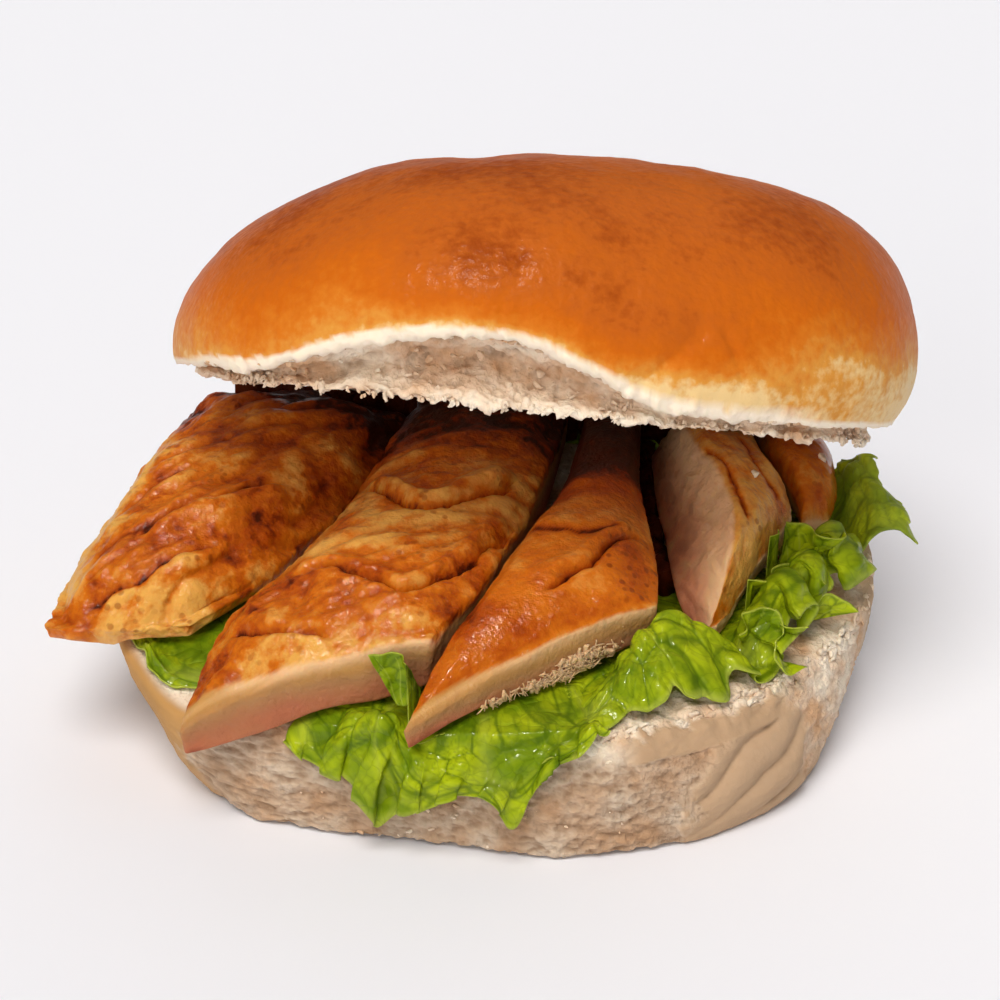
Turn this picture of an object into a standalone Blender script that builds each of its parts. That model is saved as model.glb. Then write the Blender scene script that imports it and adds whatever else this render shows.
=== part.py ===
"""A filled soft roll: bread crown and heel, frilly lettuce and five glazed fillet pieces.

Metres, +Z up. The origin is the centre of the heel's flat underside, and the open mouth faces -Y.
The tables below are in millimetres: each mesh is scaled by MM once, as it is made.
"""

import math

import bmesh
import bpy
import numpy as np
from mathutils import Matrix, Vector, noise
from mathutils.bvhtree import BVHTree

MM = 0.001
GAP = 0.45  # clearance between pieces that touch, mm
COLLECTION = "filled_roll"

# Heel: the bottom half of the roll. Angles run anticlockwise from +X, so the mouth is at 270.
HEEL_TOP = 22.0
HEEL_DISH = 4  # power by which the upper face bends up or down towards the rim
HEEL_EDGE_FALL = 1.6  # slope of the side just outside the rim, for what hangs over it
SPILL_FALL = 0.5  # gentler slope that stiff fillet pieces keep outside the rim
HEEL_SEGMENTS = 76
HEEL_TOP_RINGS = (0.3, 0.55, 0.75, 0.9)
HEEL_SIDE_RINGS = 9
HEEL_OUTLINE = (  # angle, base radius, belly radius, rim radius, rim height
    (0, 49.5, 57.5, 60.0, 19.5),
    (20, 52.0, 60.0, 61.5, 24.0),
    (45, 51.5, 60.0, 59.5, 26.0),
    (70, 49.5, 57.0, 55.0, 26.0),
    (90, 47.0, 54.0, 52.0, 25.5),
    (120, 49.0, 57.0, 55.0, 25.0),
    (150, 50.0, 59.0, 59.0, 23.0),
    (180, 50.0, 59.0, 61.0, 20.5),
    (205, 51.0, 58.0, 61.5, 19.0),
    (216, 54.0, 59.0, 60.5, 17.0),
    (227, 54.5, 56.0, 55.0, 15.5),
    (238, 51.5, 52.0, 51.0, 18.0),
    (254, 48.5, 49.5, 49.0, 19.5),
    (272, 50.0, 50.5, 49.0, 20.0),
    (288, 52.5, 53.0, 50.0, 20.0),
    (305, 54.5, 55.5, 51.5, 20.5),
    (323, 55.0, 57.5, 53.0, 20.5),
    (341, 52.0, 57.0, 56.0, 20.0),
)
HEEL_TORN = (228.0, 306.0)  # the side pulled from its neighbour in the tin, degrees
HEEL_WRINKLED = (308.0, 385.0)  # the side whose thin skin is folded, degrees

# Crown: the top half, modelled flat and then tipped open about its back.
CROWN_HALF_WIDTH = 57.8
CROWN_HALF_DEPTH = 50.0
CROWN_HEIGHT = 38.0
CROWN_SQUARENESS = 2.35  # power of its outline in plan: 2 is an ellipse
CROWN_SLACK = 4.0  # how much lower the left shoulder is, mm
CROWN_SEGMENTS = 72
CROWN_DOME_RINGS = 11
CROWN_UNDER_RINGS = (0.88, 0.68, 0.45, 0.2)
CROWN_CENTRE = (5.8, 1.0, 51.0)
CROWN_TILT = math.radians(25.0)
CROWN_ROLL = math.radians(6.5)
CROWN_HANG = 1.6  # how far the torn crumb hangs below the base plane, mm
CROWN_EDGE = (  # angle, height of the crust's torn edge, how far the crumb is set back under it
    (0, 4.0, 2.0),
    (45, 2.0, 1.5),
    (90, 1.5, 1.5),
    (135, 1.5, 2.0),
    (180, 1.5, 3.5),
    (207, 1.0, 4.0),
    (222, 1.6, 3.5),
    (236, 5.8, 6.0),
    (252, 8.4, 7.0),
    (267, 7.4, 6.5),
    (280, 3.2, 3.5),
    (292, 1.2, 2.0),
    (320, 1.5, 1.5),
    (342, 2.5, 1.5),
)
CROWN_CREASES = (  # line on the dome from (x, y) to (x, y), its half-width and depth, mm
    ((-3.0, -20.0), (-4.0, -45.0), 1.6, 0.9),
    ((14.0, -46.0), (27.0, -37.0), 2.6, 1.3),
    ((-18.0, 6.0), (-12.0, -14.0), 6.0, 1.0),
    ((14.0, 16.0), (16.0, -10.0), 6.0, 0.7),
)

# Fillet pieces: four rails each, from the mouth to the back, as (x, y, z).
FILLET_CELLS = (12, 8, 3)
# Stations run from the mouth inwards. Each has a point on the top left edge and one on the top
# right edge, then the two drops below them, or the two bottom points of the piece on its side.
FILLET_LEAST_THICKNESS = 2.5
FILLET_SHOULDER = 0.09  # share of the width over which a top edge rounds off
FILLET_UNEVENNESS = 0.7
FILLETS = {
    "fillet_1": {
        "stations": (
            ((-70.0, -24.0, 26.5), (-47.0, -25.0, 26.5), (4.5, 7.0)),
            ((-67.0, -9.0, 30.5), (-39.0, -16.0, 31.5), (8.0, 9.5)),
            ((-63.0, 5.0, 34.0), (-31.5, -5.0, 34.0), (9.5, 10.0)),
            ((-58.0, 19.0, 37.0), (-24.0, 8.0, 35.5), (11.0, 10.0)),
            ((-50.5, 38.0, 39.0), (-14.8, 36.0, 36.5), (11.5, 10.0)),
        ),
        "crown": 3.5,
        "round": 2.6,
    },
    "fillet_2": {
        "stations": (
            ((-47.5, -45.5, 20.5), (-10.0, -42.3, 35.0), (8.0, 10.5)),
            ((-43.0, -33.5, 29.0), (-5.4, -34.0, 36.0), (9.0, 11.5)),
            ((-36.2, -24.5, 33.5), (-1.6, -25.5, 36.3), (10.0, 11.5)),
            ((-26.8, -9.5, 36.0), (3.3, -9.0, 36.5), (11.0, 11.5)),
            ((-21.8, 6.0, 36.5), (7.5, 8.0, 37.0), (11.0, 11.5)),
            ((-13.6, 37.0, 36.5), (12.0, 36.0, 36.5), (10.0, 10.0)),
        ),
        "crown": 3.0,
        "round": 1.5,
    },
    "fillet_3": {
        "stations": (
            ((-14.2, -53.0, 24.5), (23.6, -31.0, 34.0), (5.5, 7.5)),
            ((-8.2, -41.5, 32.5), (24.0, -25.0, 35.0), (9.0, 9.0)),
            ((-2.9, -31.5, 35.5), (23.8, -18.0, 36.0), (10.5, 9.5)),
            ((3.0, -18.5, 37.5), (23.0, -8.0, 37.0), (11.5, 10.5)),
            ((9.5, -2.0, 37.8), (22.5, 5.0, 37.0), (11.5, 11.0)),
            ((15.0, 34.0, 36.5), (24.0, 33.0, 36.0), (10.5, 10.5)),
        ),
        "crown": 2.4,
        "round": 1.4,
    },
    "fillet_4": {
        "stations": (
            ((31.5, -28.0, 26.5), (32.8, -26.8, 25.5), (31.2, -28.0, 22.5), (32.6, -27.2, 22.5)),
            ((35.3, -21.0, 36.5), (39.5, -15.5, 31.0), (27.4, -22.0, 26.5), (37.8, -16.5, 26.0)),
            ((36.0, -15.0, 39.5), (44.2, -7.0, 33.0), (26.4, -15.0, 27.0), (42.4, -8.0, 27.0)),
            ((35.6, -8.0, 41.0), (46.4, -1.5, 34.0), (26.0, -8.0, 27.0), (45.0, -2.0, 27.0)),
            ((34.0, 0.0, 41.5), (45.6, 4.5, 36.0), (25.8, 0.0, 27.0), (44.6, 4.5, 27.0)),
            ((31.5, 10.0, 40.5), (43.0, 11.0, 37.0), (25.2, 10.0, 27.0), (42.5, 11.0, 27.0)),
            ((29.0, 30.0, 39.0), (40.5, 30.0, 36.0), (25.2, 30.0, 27.0), (40.3, 30.0, 27.0)),
        ),
        "crown": 0.8,
        "round": 0.9,
    },
    "fillet_5": {
        "stations": (
            ((48.0, -1.0, 31.5), (52.8, 3.0, 29.5), (4.5, 3.0)),
            ((47.4, 5.0, 34.5), (54.6, 8.0, 32.0), (7.0, 5.0)),
            ((45.2, 12.0, 36.5), (55.0, 14.5, 33.5), (8.5, 6.5)),
            ((43.4, 20.0, 36.0), (54.5, 22.0, 34.0), (8.0, 7.0)),
            ((42.0, 32.0, 33.0), (51.0, 33.0, 32.0), (6.0, 6.0)),
        ),
        "crown": 1.2,
        "round": 1.5,
    },
}
FILLET_CREASES = {  # lines across the glazed tops as (x, y) points, with half-width and depth, mm
    "fillet_1": (
        (((-56.0, -12.0), (-49.0, -12.0), (-42.0, -5.0), (-33.0, 1.0)), 2.2, 2.2),
        (((-62.0, -18.0), (-50.0, -19.0), (-40.0, -10.0)), 2.0, 1.2),
    ),
    "fillet_2": (
        (((-34.0, -27.0), (-27.0, -28.0), (-17.0, -30.5), (-9.0, -26.0), (-3.0, -18.0)), 1.8, 3.0),
        (((-41.0, -37.0), (-33.0, -38.0), (-24.0, -37.5)), 1.6, 2.2),
        (((-23.0, 2.0), (-16.0, -5.0), (-8.0, -6.0), (2.0, -1.0)), 2.0, 2.6),
    ),
    "fillet_3": (
        (((8.0, -32.0), (14.0, -27.0), (19.0, -19.0), (23.0, -14.0)), 1.8, 2.4),
        (((10.0, -10.0), (16.0, -12.0), (22.0, -9.0)), 1.6, 1.0),
    ),
    "fillet_4": ((((33.0, -6.0), (38.0, -8.0), (43.0, -10.0)), 1.6, 1.0),),
    "fillet_5": (),
}

# Lettuce: each leaf runs round part of the heel, from under the fillets to its free edge.
LEAF_THICKNESS = 0.7
LEAF_LIFT = 0.5
LEAF_LYING_SHARE = 0.3  # the part of its width that lies flat on the bread
PRESS_REACH = 1.1  # how far round a fillet piece the leaf under it is pressed down, mm
# A section is an angle, the radius where the leaf leaves the bread, the radius and height of its
# crest, and the radius and height of its edge. A ruffle is a height and a number of waves.
LEAVES = {
    "lettuce_front": {
        "cells": (34, 11),
        "inner": 26.0,
        "sections": (
            (234, 45.0, 49.5, 17.2, 54.0, 14.6),
            (239, 46.5, 51.4, 17.0, 54.0, 12.3),
            (245, 47.0, 51.2, 20.0, 53.9, 9.5),
            (248.5, 48.0, 51.0, 25.5, 53.8, 7.0),
            (251, 48.0, 51.2, 26.5, 53.8, 5.2),
            (254, 47.8, 51.7, 17.0, 53.8, 6.5),
            (264, 47.8, 52.2, 15.5, 53.8, 11.8),
            (269, 48.0, 52.4, 15.0, 54.4, 11.5),
            (272.4, 48.0, 52.6, 15.0, 55.1, 6.5),
            (276, 48.0, 52.3, 17.0, 53.6, 14.5),
            (284, 46.5, 50.9, 20.8, 52.6, 19.6),
        ),
        "ruffle": (0.9, 7.0),
    },
    "lettuce_right": {
        "cells": (50, 10),
        "inner": 26.0,
        "sections": (
            (286, 44.5, 47.0, 21.8, 50.8, 20.8),
            (293, 41.5, 44.0, 25.5, 51.5, 21.0),
            (301, 39.8, 42.0, 29.5, 52.8, 21.2),
            (308, 38.8, 41.0, 31.0, 53.0, 21.8),
            (313, 39.5, 42.0, 29.5, 53.0, 22.0),
            (318, 42.8, 47.0, 24.5, 54.5, 22.5),
            (325, 43.0, 47.0, 26.0, 53.5, 23.0),
            (333, 42.6, 47.0, 30.5, 52.5, 23.5),
            (341, 44.2, 48.5, 31.0, 54.0, 24.0),
            (350, 46.5, 50.5, 32.5, 55.5, 25.5),
            (357, 49.0, 53.0, 31.0, 60.5, 25.0),
        ),
        "ruffle": (1.9, 7.5),
    },
    "lettuce_side": {
        "cells": (16, 8),
        "inner": 44.0,
        "sections": (
            (361, 57.0, 61.0, 28.5, 68.5, 26.0),
            (366, 56.8, 60.5, 30.0, 67.0, 28.5),
            (371, 57.2, 60.0, 31.0, 64.0, 31.0),
            (376, 57.6, 60.5, 32.0, 63.5, 33.0),
            (381, 58.0, 60.0, 29.5, 61.5, 31.0),
        ),
        "ruffle": (0.8, 2.5),
    },
    "lettuce_back": {
        "cells": (28, 6),
        "inner": 42.0,
        "sections": (
            (385, 57.0, 59.5, 25.6, 62.5, 24.0),
            (405, 56.0, 59.0, 26.6, 62.0, 24.0),
            (430, 53.0, 56.0, 27.5, 59.5, 25.5),
            (450, 48.5, 51.5, 28.0, 56.5, 26.5),
            (467, 49.5, 53.0, 29.5, 57.5, 27.5),
        ),
        "ruffle": (0.9, 6.0),
    },
    "lettuce_left": {
        "cells": (26, 6),
        "inner": 36.0,
        "sections": (
            (110, 51.0, 54.0, 25.8, 57.0, 25.2),
            (130, 52.0, 56.0, 25.2, 59.0, 24.8),
            (150, 55.0, 58.5, 23.8, 61.0, 23.4),
            (176, 57.0, 60.0, 21.6, 62.5, 21.4),
            (190, 57.0, 60.0, 20.8, 62.5, 20.6),
            (203, 55.0, 58.5, 20.2, 60.5, 20.2),
            (211, 54.5, 58.0, 19.0, 60.3, 19.2),
            (218, 51.5, 53.0, 17.8, 54.0, 17.4),
        ),
        "ruffle": (0.25, 8.0),
    },
}

# sRGB colour, roughness
CRUST = ("crust", (0.80, 0.45, 0.14), 0.42)
CRUMB = ("crumb", (0.88, 0.77, 0.62), 0.85)
GLAZED_FILLET = ("glazed_fillet", (0.72, 0.40, 0.12), 0.35)
LEAF_GREEN = ("leaf_green", (0.47, 0.58, 0.10), 0.40)


def through(knots, values, at):
    """Smooth values at the places `at`, through values given at the knots."""
    knots = np.asarray(knots, float)
    values = np.asarray(values, float)
    slopes = np.gradient(values, knots, axis=0)
    i = np.clip(np.searchsorted(knots, at) - 1, 0, len(knots) - 2)
    width = knots[i + 1] - knots[i]
    t = (at - knots[i]) / width
    if values.ndim > 1:
        t, width = t[..., None], width[..., None]
    start, end = values[i], values[i + 1]
    ease = t * t * (3 - 2 * t)
    bend_in = t * (1 - t) ** 2 * width * slopes[i]
    bend_out = -t * t * (1 - t) * width * slopes[i + 1]
    return start + (end - start) * ease + bend_in + bend_out


def round_table(table, degrees):
    """The table's columns at these angles, on a table that closes on itself after 360 degrees."""
    rows = np.asarray(table, float)
    before, after = rows[-3:].copy(), rows[:3].copy()
    before[:, 0] -= 360
    after[:, 0] += 360
    rows = np.concatenate([before, rows, after])
    return through(rows[:, 0], rows[:, 1:], np.mod(degrees, 360.0)).T


def bumps(points, size, seed):
    """Smooth noise from -1 to 1 at points in mm, with lumps of about `size` mm."""
    shift = Vector((seed * 7.3, seed * 3.1, seed * 5.7))
    return np.array([noise.noise(Vector(p) / size + shift) for p in points])


def window(value, low, high, soft):
    """1 between low and high, easing to 0 over `soft` on each side."""
    rise = np.clip((value - low) / soft + 0.5, 0, 1)
    fall = np.clip((high - value) / soft + 0.5, 0, 1)
    return rise * rise * (3 - 2 * rise) * fall * fall * (3 - 2 * fall)


def line_distance(x, y, line):
    """Distance in plan from each point to a line of (x, y) points."""
    best = np.full(np.shape(x), 1e9)
    for (x0, y0), (x1, y1) in zip(line[:-1], line[1:]):
        run_x, run_y = x1 - x0, y1 - y0
        t = np.clip(((x - x0) * run_x + (y - y0) * run_y) / (run_x**2 + run_y**2), 0, 1)
        best = np.minimum(best, np.hypot(x - x0 - t * run_x, y - y0 - t * run_y))
    return best


def heel_outline(theta):
    """The heel's base, belly and rim radii and its ragged rim height at these angles."""
    degrees = np.mod(np.degrees(theta), 360)
    base, belly, rim, height = round_table(HEEL_OUTLINE, degrees)
    ragged = bumps(np.stack([40 * np.cos(theta), 40 * np.sin(theta), 0 * theta], 1), 7.0, 1)
    return base, belly, rim, height + ragged * (0.4 + 0.9 * window(degrees, *HEEL_TORN, 8.0))


def heel_surface(x, y, fall=HEEL_EDGE_FALL):
    """Height of the heel's upper face, or of a slope that falls away outside its rim."""
    radius = np.hypot(x, y)
    base, belly, rim, height = heel_outline(np.arctan2(y, x))
    share = radius / rim
    inside = HEEL_TOP + (height - HEEL_TOP) * share**HEEL_DISH
    outside = height - fall * (radius - rim)
    return np.where(share < 1, inside, outside)


def heel_form(theta, ring):
    """The heel, ring by ring from the middle of its upper face to the middle of its base."""
    degrees = np.mod(np.degrees(theta), 360)
    base, belly, rim, height = heel_outline(theta)
    torn = window(degrees, *HEEL_TORN, 8.0)
    radius, z = np.zeros_like(theta), np.zeros_like(theta)
    top_rings = len(HEEL_TOP_RINGS)
    for k, share in enumerate((0.0,) + HEEL_TOP_RINGS):
        here = ring == k
        radius[here] = share * rim[here]
        z[here] = HEEL_TOP + (height[here] - HEEL_TOP) * share**HEEL_DISH
    swell = 2 * belly - (rim + base) / 2
    for k in range(HEEL_SIDE_RINGS):
        here = ring == top_rings + 1 + k
        t = k / (HEEL_SIDE_RINGS - 1)
        curve = (1 - t) ** 2 * rim + 2 * t * (1 - t) * swell + t * t * base
        radius[here] = curve[here]
        z[here] = height[here] * (1 - t) ** 1.15
    last_side = top_rings + HEEL_SIDE_RINGS
    here = ring == last_side + 1
    radius[here] = 0.5 * base[here]
    x, y = radius * np.cos(theta), radius * np.sin(theta)
    side = np.clip((ring - top_rings - 1) / 2, 0, 1) * (ring < last_side)
    wrinkled = window(np.where(degrees < 90, degrees + 360, degrees), *HEEL_WRINKLED, 16.0)
    folds = np.sin(theta * 9.0 + z * 0.42 + 1.5 * bumps(np.stack([x, y, z], 1), 18.0, 4))
    relief = torn * (bumps(np.stack([x, y, 2 * z], 1), 5.0, 2) - 0.4) + wrinkled * 0.9 * folds
    relief += 0.4 * bumps(np.stack([x, y, z], 1), 12.0, 3)
    scale = 1 + side * relief / np.maximum(radius, 1)
    return np.stack([x * scale, y * scale, z], 1)


def crown_form(theta, ring):
    """The crown in its own flat pose: dome, torn edge, set-back crumb and hollowed underside."""
    degrees = np.mod(np.degrees(theta), 360)
    edge, set_back = round_table(CROWN_EDGE, degrees)
    cos, sin = np.cos(theta), np.sin(theta)
    power = CROWN_SQUARENESS
    reach = np.abs(cos / CROWN_HALF_WIDTH) ** power + np.abs(sin / CROWN_HALF_DEPTH) ** power
    outline = reach ** (-1 / power)
    fullness = 0.5 + 0.5 * cos  # 0 on the slack left side, 1 on the plump right side
    plan_power = 0.84 - 0.32 * fullness
    rise_power = 1.00 - 0.33 * fullness
    tuck = 0.02 + 0.05 * fullness
    radius, z = np.zeros_like(theta), np.zeros_like(theta)
    for k in range(CROWN_DOME_RINGS + 1):
        here = ring == k
        turn = math.pi / 2 * k / CROWN_DOME_RINGS
        radius[here] = (outline * math.sin(turn) ** plan_power)[here]
        up = max(math.cos(turn), 0.0) ** rise_power
        tall = CROWN_HEIGHT - CROWN_SLACK * (1 - fullness) * math.sin(turn)
        z[here] = (edge + (tall - edge) * up)[here]
        low = np.clip(1 - z / 11.0, 0, 1) ** 2
        radius[here] *= (1 - tuck * low)[here]
    lip = outline * (1 - tuck)
    here = ring == CROWN_DOME_RINGS + 1
    radius[here], z[here] = (lip - set_back)[here], (edge - 0.8)[here]
    here = ring == CROWN_DOME_RINGS + 2
    front = np.clip(0.6 - 0.8 * sin, 0, 1)
    ragged = bumps(np.stack([50 * cos, 50 * sin, 0 * theta], 1), 5.0, 6)
    hang = -CROWN_HANG * (0.4 + 0.6 * front) + (0.3 + 0.6 * front) * ragged
    radius[here], z[here] = (lip - set_back - 1.2)[here], hang[here]
    for k, share in enumerate(CROWN_UNDER_RINGS + (0.0,)):
        here = ring == CROWN_DOME_RINGS + 3 + k
        radius[here] = ((lip - set_back) * share)[here]
        z[here] = -0.6 + 2.0 * (1 - share) * np.clip(-sin[here], 0, 1)
    x, y = radius * cos, radius * sin
    dome = ring <= CROWN_DOME_RINGS
    for start, end, half_width, depth in CROWN_CREASES:
        away = line_distance(x, y, (start, end))
        z -= np.where(dome, depth * np.exp(-((away / half_width) ** 2)), 0)
    under = ring > CROWN_DOME_RINGS + 2
    points = np.stack([x, y, z], 1)
    z += np.where(under, 0.5 * bumps(points, 9.0, 8), np.where(dome, 0.5 * bumps(points, 22.0, 9), 0))
    return np.stack([x, y, z], 1)


def leaf_support(x, y):
    """Height of a leaf's underside where it lies on the heel."""
    return heel_surface(x, y) + LEAF_LIFT


def leaf_bed(leaf, u, v):
    """The leaf without its frill: flat on the bread, then up to its crest and out to its edge."""
    table = np.asarray(leaf["sections"], float)
    degrees = table[0, 0] + u * (table[-1, 0] - table[0, 0])
    leaves_at, crest, crest_z, edge, edge_z = through(table[:, 0], table[:, 1:], degrees).T
    theta = np.radians(degrees)
    lying = np.clip(v / LEAF_LYING_SHARE, 0, 1)
    radius = leaf["inner"] + (leaves_at - leaf["inner"]) * lying
    z = leaf_support(radius * np.cos(theta), radius * np.sin(theta))
    t = np.clip((v - LEAF_LYING_SHARE) / (1 - LEAF_LYING_SHARE), 0, 1)
    pull, pull_z = 2 * crest - (leaves_at + edge) / 2, 2 * crest_z - (z + edge_z) / 2
    radius = np.where(t > 0, (1 - t) ** 2 * leaves_at + 2 * t * (1 - t) * pull + t * t * edge, radius)
    z = np.where(t > 0, (1 - t) ** 2 * z + 2 * t * (1 - t) * pull_z + t * t * edge_z, z)
    return np.stack([radius * np.cos(theta), radius * np.sin(theta), z], 1)


def leaf_form(leaf):
    """A function from (u, v) on a leaf to its underside: the bed with a frill that grows to the edge."""
    height, waves = leaf["ruffle"]
    step = 1e-3

    def form(u, v):
        bed = leaf_bed(leaf, u, v)
        along = leaf_bed(leaf, u + step, v) - bed
        inward = np.maximum(v, step)
        across = leaf_bed(leaf, u, inward - step) - leaf_bed(leaf, u, inward)
        normal = np.cross(along, across)
        normal /= np.linalg.norm(normal, axis=1, keepdims=True)
        normal *= np.sign(normal[:, 2:] + 1e-9)
        along /= np.linalg.norm(along, axis=1, keepdims=True)
        free = np.clip((v - LEAF_LYING_SHARE) / (1 - LEAF_LYING_SHARE), 0, 1)
        drift = bumps(bed, 14.0, 21)
        phase = 2 * np.pi * (waves * u + 0.45 * drift + 0.25 * free)
        broad = height * free**1.2 * np.sin(phase)
        fine = 0.6 * height * free**3 * np.sin(2.6 * phase + 4.0 * drift)
        slip = -0.9 * height * free**2 * np.sin(2 * phase)
        at = bed + normal * (broad + fine)[:, None] + along * slip[:, None]
        rim = heel_outline(np.arctan2(at[:, 1], at[:, 0]))[2]
        over_bread = np.hypot(at[:, 0], at[:, 1]) < rim + 1.0
        floor = leaf_support(at[:, 0], at[:, 1])
        at[:, 2] = np.where(over_bread, np.maximum(at[:, 2], floor), at[:, 2])
        return at

    return form


def support_under_fillets(x, y):
    """The lowest a fillet may reach at a place: a leaf's thickness and a gap above the bread."""
    return heel_surface(x, y, fall=SPILL_FALL) + LEAF_LIFT + LEAF_THICKNESS + 3 * GAP


def crown_frame():
    """The crown's place: leaned open, and set over the filling."""
    lean = Matrix.Rotation(CROWN_ROLL, 4, "Y") @ Matrix.Rotation(-CROWN_TILT, 4, "X")
    return Matrix.Translation(Vector(CROWN_CENTRE)) @ lean


def roof_over_fillets(x, y):
    """The highest a fillet may reach at a place: a gap below the crown's underside."""
    up = crown_frame().to_3x3() @ Vector((0, 0, 1))
    plane = CROWN_CENTRE[2] - (up.x * (x - CROWN_CENTRE[0]) + up.y * (y - CROWN_CENTRE[1])) / up.z
    clearance = np.interp(y, (-25.0, 5.0), (CROWN_HANG + 1.6, 1.7))
    return plane - clearance


def fillet_form(name):
    """A function from (a, b, c), along, across and up the piece, to its surface."""
    piece = FILLETS[name]
    columns = [np.array(column, float) for column in zip(*piece["stations"])]
    top_left, top_right = columns[:2]
    if len(columns) == 3:
        drop = columns[2]
        bottom_left = top_left - np.outer(drop[:, 0], (0, 0, 1)) + (0.6, 0.8, 0)
        bottom_right = top_right - np.outer(drop[:, 1], (0, 0, 1)) + (-0.6, 0.8, 0)
    else:
        bottom_left, bottom_right = columns[2:]
    stations = np.linspace(0, 1, len(top_left))

    def form(a, b, c):
        rails = [through(stations, rail, a) for rail in (bottom_left, bottom_right, top_left, top_right)]
        b3, c3 = b[:, None], c[:, None]
        bottom = rails[0] * (1 - b3) + rails[1] * b3
        top = rails[2] * (1 - b3) + rails[3] * b3
        arch = 1 - (2 * b - 1) ** 2
        top[:, 2] += piece["crown"] * arch
        edge = np.minimum(np.minimum(b, 1 - b), np.minimum(a, 1 - a) * 1.6)
        top[:, 2] -= piece["round"] * np.exp(-((edge / FILLET_SHOULDER) ** 2))
        for line, half_width, depth in FILLET_CREASES[name]:
            away = line_distance(top[:, 0], top[:, 1], line)
            top[:, 2] -= depth * np.exp(-((away / half_width) ** 2))
        top[:, 2] += FILLET_UNEVENNESS * bumps(top, 8.0, 11)
        floor = support_under_fillets(bottom[:, 0], bottom[:, 1])
        bottom[:, 2] = np.maximum(bottom[:, 2], floor)
        top[:, 2] = np.minimum(top[:, 2], roof_over_fillets(top[:, 0], top[:, 1]))
        top[:, 2] = np.maximum(top[:, 2], bottom[:, 2] + FILLET_LEAST_THICKNESS)
        point = bottom * (1 - c3) + top * c3
        belly = 0.6 * np.sin(np.pi * c) * (np.minimum(b, 1 - b) < 1e-6)
        point[:, 0] += np.where(b < 0.5, -belly, belly) * 0.5
        return point

    return form


def material(finish):
    """A plain Principled material of that sRGB colour and roughness, made once."""
    name, colour, roughness = finish
    made = bpy.data.materials.get(name)
    if made is None:
        made = bpy.data.materials.new(name)
        made.use_nodes = True
        shader = made.node_tree.nodes["Principled BSDF"]
        shader.inputs["Base Color"].default_value = [c**2.2 for c in colour] + [1.0]
        shader.inputs["Roughness"].default_value = roughness
    return made


def add_object(name, mesh_data, finish, smooth_angle=50.0):
    """Turns a bmesh into a named object in the roll's collection."""
    mesh = bpy.data.meshes.new(name)
    mesh_data.to_mesh(mesh)
    mesh_data.free()
    mesh.shade_smooth()
    mesh.set_sharp_from_angle(angle=math.radians(smooth_angle))
    mesh.materials.append(material(finish))
    made = bpy.data.objects.new(name, mesh)
    bpy.data.collections[COLLECTION].objects.link(made)
    return made


def add_turned(name, segments, rings, form, finish):
    """A sphere whose rings are moved to the form's sections."""
    ball = bmesh.new()
    bmesh.ops.create_uvsphere(ball, u_segments=segments, v_segments=rings, radius=1.0)
    at = np.array([v.co for v in ball.verts])
    theta = np.arctan2(at[:, 1], at[:, 0])
    ring = np.rint(np.arccos(np.clip(at[:, 2], -1, 1)) / math.pi * rings).astype(int)
    for vertex, point in zip(ball.verts, form(theta, ring) * MM):
        vertex.co = point
    return add_object(name, ball, finish)


def add_block(name, cells, form, finish):
    """A cube cut into a grid of cells and bent to the form."""
    block = bmesh.new()
    bmesh.ops.create_cube(block, size=1.0)
    for axis, count in enumerate(cells):
        edges = [e for e in block.edges if abs(e.verts[0].co[axis] - e.verts[1].co[axis]) > 1e-5]
        bmesh.ops.subdivide_edges(block, edges=edges, cuts=count - 1, use_grid_fill=True)
    share = np.array([v.co for v in block.verts]) + 0.5
    for vertex, point in zip(block.verts, form(*share.T) * MM):
        vertex.co = point
    bmesh.ops.reverse_faces(block, faces=block.faces)  # a runs along Y and b along X, which mirrors the cube
    return add_object(name, block, finish)


def fillet_solids():
    """One search tree over every fillet piece, in mm."""
    corners, faces = [], []
    for name in FILLETS:
        mesh = bpy.data.objects[name].data
        first = len(corners)
        corners += [v.co / MM for v in mesh.vertices]
        faces += [[first + i for i in p.vertices] for p in mesh.polygons]
    return BVHTree.FromPolygons(corners, faces)


def press_under(points, solids):
    """Lowers leaf points so that the leaf clears the underside of any fillet piece above them."""
    up = Vector((0, 0, 1))
    round_about = [(0, 0)] + [
        (PRESS_REACH * math.cos(k * math.pi / 4), PRESS_REACH * math.sin(k * math.pi / 4)) for k in range(8)
    ]
    for point in points:
        for across, along in round_about:
            hit = solids.ray_cast(Vector((point[0] + across, point[1] + along, 0.0)), up)[0]
            if hit is not None:
                point[2] = min(point[2], hit.z - LEAF_THICKNESS - GAP)
    return points


def add_leaf(name, leaf, solids):
    """A leaf: a triangulated grid laid on its form, pressed by the filling and thickened upwards."""
    sheet = bmesh.new()
    bmesh.ops.create_grid(sheet, x_segments=leaf["cells"][0], y_segments=leaf["cells"][1], size=0.5)
    share = np.array([v.co for v in sheet.verts]) + 0.5
    points = press_under(leaf_form(leaf)(share[:, 0], share[:, 1]), solids)
    for vertex, point in zip(sheet.verts, points * MM):
        vertex.co = point
    bmesh.ops.triangulate(sheet, faces=sheet.faces)
    made = add_object(name, sheet, LEAF_GREEN)
    if sum(p.normal.z for p in made.data.polygons) < 0:
        made.data.flip_normals()
    thicken = made.modifiers.new("thickness", "SOLIDIFY")
    thicken.thickness = LEAF_THICKNESS * MM
    thicken.offset = 1.0
    thicken.use_even_offset = False
    return made


def clear_scene():
    """Empties the scene and makes the roll's collection."""
    for old in list(bpy.data.objects):
        bpy.data.objects.remove(old)
    collection = bpy.data.collections.new(COLLECTION)
    bpy.context.scene.collection.children.link(collection)


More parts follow.
